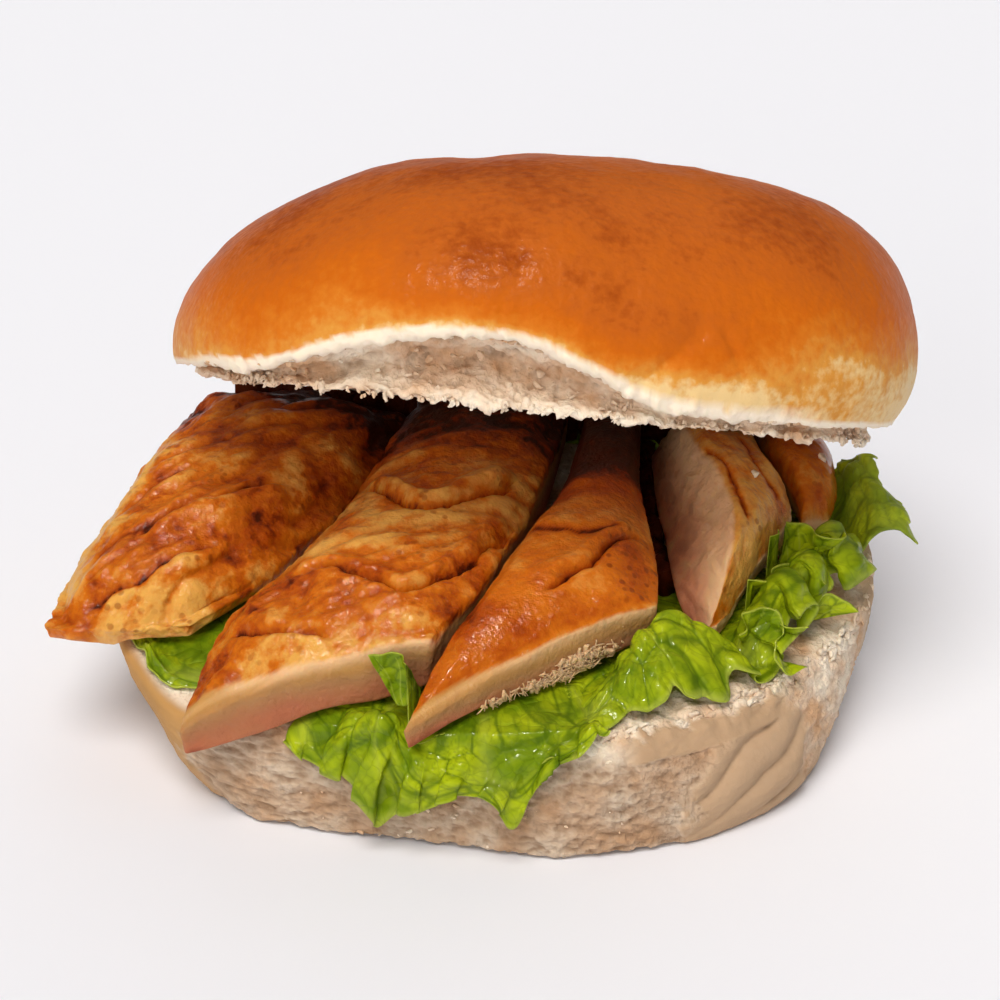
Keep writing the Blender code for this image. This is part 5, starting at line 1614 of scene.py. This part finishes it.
class FillingSettings(bpy.types.PropertyGroup):
    """Glazed fillet pieces"""

    glaze_thin: colour_of("Glaze, thin", "#dba24e", "Colour of the glaze on the ridges")
    glaze: colour_of("Glaze", "#c56912", "Main colour of the glaze")
    glaze_deep: colour_of("Glaze, pooled", "#a6470a", "Colour of the glaze where it pools")
    flesh_soaked: colour_of("Flesh, soaked", "#bd8c46", "Colour of the cut flesh just under the glaze")
    flesh: colour_of("Flesh", "#aa7c52", "Colour of the cut flesh")
    flesh_pink: colour_of("Flesh, pink", "#b06a4c", "Colour of the flesh at the bottom of a cut")
    rounding: length_of("Edge rounding", 1.1, "How much the cut edges of a piece are rounded")


class LeafSettings(bpy.types.PropertyGroup):
    """Curly lettuce"""

    green: colour_of("Leaf", "#c4d41c", "Main colour of the leaf")
    shade: colour_of("Leaf, dark", "#84a012", "Colour of the leaf's darker patches")
    rib: colour_of("Ribs and edges", "#cbd654", "Colour of the veins and the thin edge")
    glow: number_of("Light through", 0.36, "Share of light that shines through a leaf",
                    max=1.0, subtype="FACTOR")
    thickness: length_of("Thickness", 0.6, "Thickness of a leaf")
    frill: length_of("Frill", 1.4, "Height of the fine frill at the free edge")
    puff: length_of("Blisters", 1.3, "How far the leaf puffs up between its veins")


class StageSettings(bpy.types.PropertyGroup):
    """Floor, lights and camera"""

    floor: colour_of("Floor", "#f0f2fb", "Colour of the floor")
    floor_size: length_of("Floor size", 4000.0, "Length of the floor's sides")
    key: number_of("Key light", 2.34, "Strength of the big soft light above")
    glint: number_of("Glint light", 6.0, "Power of the small lamp that makes the glaze sparkle", unit="POWER")
    sky: number_of("Sky", 0.22, "Brightness of the even light all round")
    lens: number_of("Lens", 101.89, "Focal length on a 36 mm sensor", unit="CAMERA")


# Stage ----------------------------------------------------------------------------------------

CAMERA_PLACE = (0.0, -400.95, 238.3)
CAMERA_PITCH = 27  # how far the camera looks down
LIT_MIDDLE = (0, 0, 34)  # what the lights look at
SUNS = (  # wide lights: where each one stands, how wide it looks, its share of the key light, its tint
    ("key_light", (-0.14, -0.52, 1.0), 34, 1.0, (1.0, 0.955, 0.88)),
    ("fill_light", (-0.42, -1.0, 0.28), 50, 0.50, (1.0, 0.95, 0.87)),
    ("back_light", (0.25, 0.8, 0.9), 60, 0.22, (1.0, 0.97, 0.93)),
)
GLINT_PLACE, GLINT_WIDTH, GLINT_TINT = (-0.12, -0.30, 0.82), 0.045, (1.0, 0.95, 0.86)  # metres


def add_floor(stage):
    """A plain board for the roll to stand on."""
    board = bmesh.new()
    bmesh.ops.create_grid(board, x_segments=8, y_segments=8, size=stage.floor_size / 2)
    mesh = bpy.data.meshes.new("floor")
    board.to_mesh(mesh)
    board.free()
    mesh.materials.append(matt_board(stage))
    floor = bpy.data.objects.new("floor", mesh)
    bpy.context.scene.collection.objects.link(floor)


def add_lamp(name, kind, place, power, tint):
    """A lamp at a place, turned to the middle of the roll. Suns light, and the small lamp glints:
    the wide lights would only grey the gloss."""
    light = bpy.data.lights.new(name, kind)
    light.energy, light.color = power, tint
    lamp = bpy.data.objects.new(name, light)
    lamp.location = place
    lamp.visible_glossy, lamp.visible_diffuse = kind == "AREA", kind == "SUN"
    lamp.rotation_euler = (Vector(LIT_MIDDLE) * MM - Vector(place)).to_track_quat("-Z", "Y").to_euler()
    bpy.context.scene.collection.objects.link(lamp)
    return light


def add_sky(stage):
    """A sky that lights the roll gently, and shows as pale as the floor where the floor ends."""
    world = bpy.data.worlds.new("even_sky")
    world.use_nodes = True
    tree = world.node_tree
    tree.nodes.clear()
    ray = add_node(tree, "LightPath").outputs
    lit = between(tree, ray["Is Glossy Ray"], stage.sky, stage.sky * 0.5)
    strength = between(tree, ray["Is Camera Ray"], lit, 1.0)
    sky = add_node(tree, "Background", {"Color": opaque("#f2f2f4"), "Strength": strength})
    add_node(tree, "OutputWorld", {"Surface": sky.outputs[0]})
    bpy.context.scene.world = world


def add_camera(stage):
    """The camera, which stands in front of the roll and looks down at it."""
    view = bpy.data.cameras.new("camera")
    view.lens, view.sensor_width = stage.lens, 36.0
    camera = bpy.data.objects.new("camera", view)
    camera.location = Vector(CAMERA_PLACE) * MM
    camera.rotation_euler = (math.radians(90 - CAMERA_PITCH), 0, 0)
    bpy.context.scene.collection.objects.link(camera)
    bpy.context.scene.camera = camera


# Operators ------------------------------------------------------------------------------------


def crumb_finish(bread):
    """Torn crumb, made once and shared by the pieces that have it."""
    return bpy.data.materials.get("torn_white_crumb") or torn_crumb(bread)


class ROLL_OT_crown(bpy.types.Operator):
    """Build the crown: its baked crust, torn crumb and ragged fringe"""

    bl_idname = "roll.crown"
    bl_label = "Add crown"

    def execute(self, context):
        bread = context.scene.roll_bread
        keep(add_crown_crust(bread), "bun_crown", baked_crust(bread))
        keep(add_crown_crumb(), "bun_crown", crumb_finish(bread))
        keep(add_crown_fringe(bread), "bun_crown", crumb_finish(bread))
        return {"FINISHED"}


class ROLL_OT_heel(bpy.types.Operator):
    """Build the heel: torn crumb in front, folded skin at the right, baked skin behind"""

    bl_idname = "roll.heel"
    bl_label = "Add heel"

    def execute(self, context):
        bread = context.scene.roll_bread
        for piece in (add_heel_bread(), add_heel_shreds(bread)):
            keep(piece, "bun_heel", crumb_finish(bread))
        return {"FINISHED"}


class ROLL_OT_fillets(bpy.types.Operator):
    """Build the glazed fillet pieces"""

    bl_idname = "roll.fillets"
    bl_label = "Add fillet pieces"

    def execute(self, context):
        filling = context.scene.roll_filling
        meat = glazed_fillet(filling)
        for name in FILLETS:
            keep(add_fillet_piece(name, filling), name, meat)
        keep(add_flakes(), "fillet_3", meat)
        keep(add_painted_shade_scraps(), None, meat)
        return {"FINISHED"}


class ROLL_OT_lettuce(bpy.types.Operator):
    """Build the lettuce leaves"""

    bl_idname = "roll.lettuce"
    bl_label = "Add lettuce"

    def execute(self, context):
        leaves = context.scene.roll_leaves
        green = lettuce_leaf(leaves)
        solids = fillet_tree()
        for name in LEAVES:
            keep(add_leaf_piece(name, leaves, solids), name, green)
        keep(add_curls(leaves, solids), "lettuce_right", green)
        return {"FINISHED"}


class ROLL_OT_crumbs(bpy.types.Operator):
    """Scatter the loose crumbs"""

    bl_idname = "roll.crumbs"
    bl_label = "Add loose crumbs"

    def execute(self, context):
        keep(add_loose_crumbs(fillet_tree()), None, crumb_finish(context.scene.roll_bread))
        return {"FINISHED"}


class ROLL_OT_stage(bpy.types.Operator):
    """Set up the floor, the soft lights and the camera"""

    bl_idname = "roll.stage"
    bl_label = "Add stage"

    def execute(self, context):
        stage = context.scene.roll_stage
        add_floor(stage)
        for name, place, width, share, tint in SUNS:
            add_lamp(name, "SUN", place, stage.key * share, tint).angle = math.radians(width)
        glint = add_lamp("glint_light", "AREA", GLINT_PLACE, stage.glint, GLINT_TINT)
        glint.shape, glint.size = "DISK", GLINT_WIDTH
        add_sky(stage)
        add_camera(stage)
        context.scene.view_settings.view_transform = "Standard"
        return {"FINISHED"}


OPERATORS = (
    ROLL_OT_crown, ROLL_OT_heel, ROLL_OT_fillets, ROLL_OT_lettuce, ROLL_OT_crumbs, ROLL_OT_stage
)
SETTINGS = {
    "roll_bread": BreadSettings,
    "roll_filling": FillingSettings,
    "roll_leaves": LeafSettings,
    "roll_stage": StageSettings,
}


class ROLL_PT_panel(bpy.types.Panel):
    """Lists the pieces of the filled roll"""

    bl_idname = "ROLL_PT_panel"
    bl_label = "Filled roll"
    bl_space_type = "VIEW_3D"
    bl_region_type = "UI"
    bl_category = "Filled roll"

    def draw(self, context):
        for operator in OPERATORS:
            self.layout.operator(operator.bl_idname)
        for name in SETTINGS:
            group, box = getattr(context.scene, name), self.layout.box()
            for setting in group.bl_rna.properties:
                if setting.identifier not in ("rna_type", "name"):
                    box.prop(group, setting.identifier)


def register():
    for name, group in SETTINGS.items():
        bpy.utils.register_class(group)
        setattr(bpy.types.Scene, name, PointerProperty(type=group))
    for part in OPERATORS + (ROLL_PT_panel,):
        bpy.utils.register_class(part)


def unregister():
    for part in reversed(OPERATORS + (ROLL_PT_panel,)):
        bpy.utils.unregister_class(part)
    for name, group in reversed(SETTINGS.items()):
        delattr(bpy.types.Scene, name)
        bpy.utils.unregister_class(group)


def main():
    register()
    bpy.ops.roll.crown()
    bpy.ops.roll.heel()
    bpy.ops.roll.fillets()
    bpy.ops.roll.lettuce()
    bpy.ops.roll.crumbs()
    bpy.ops.roll.stage()


if __name__ == "__main__":
    main()
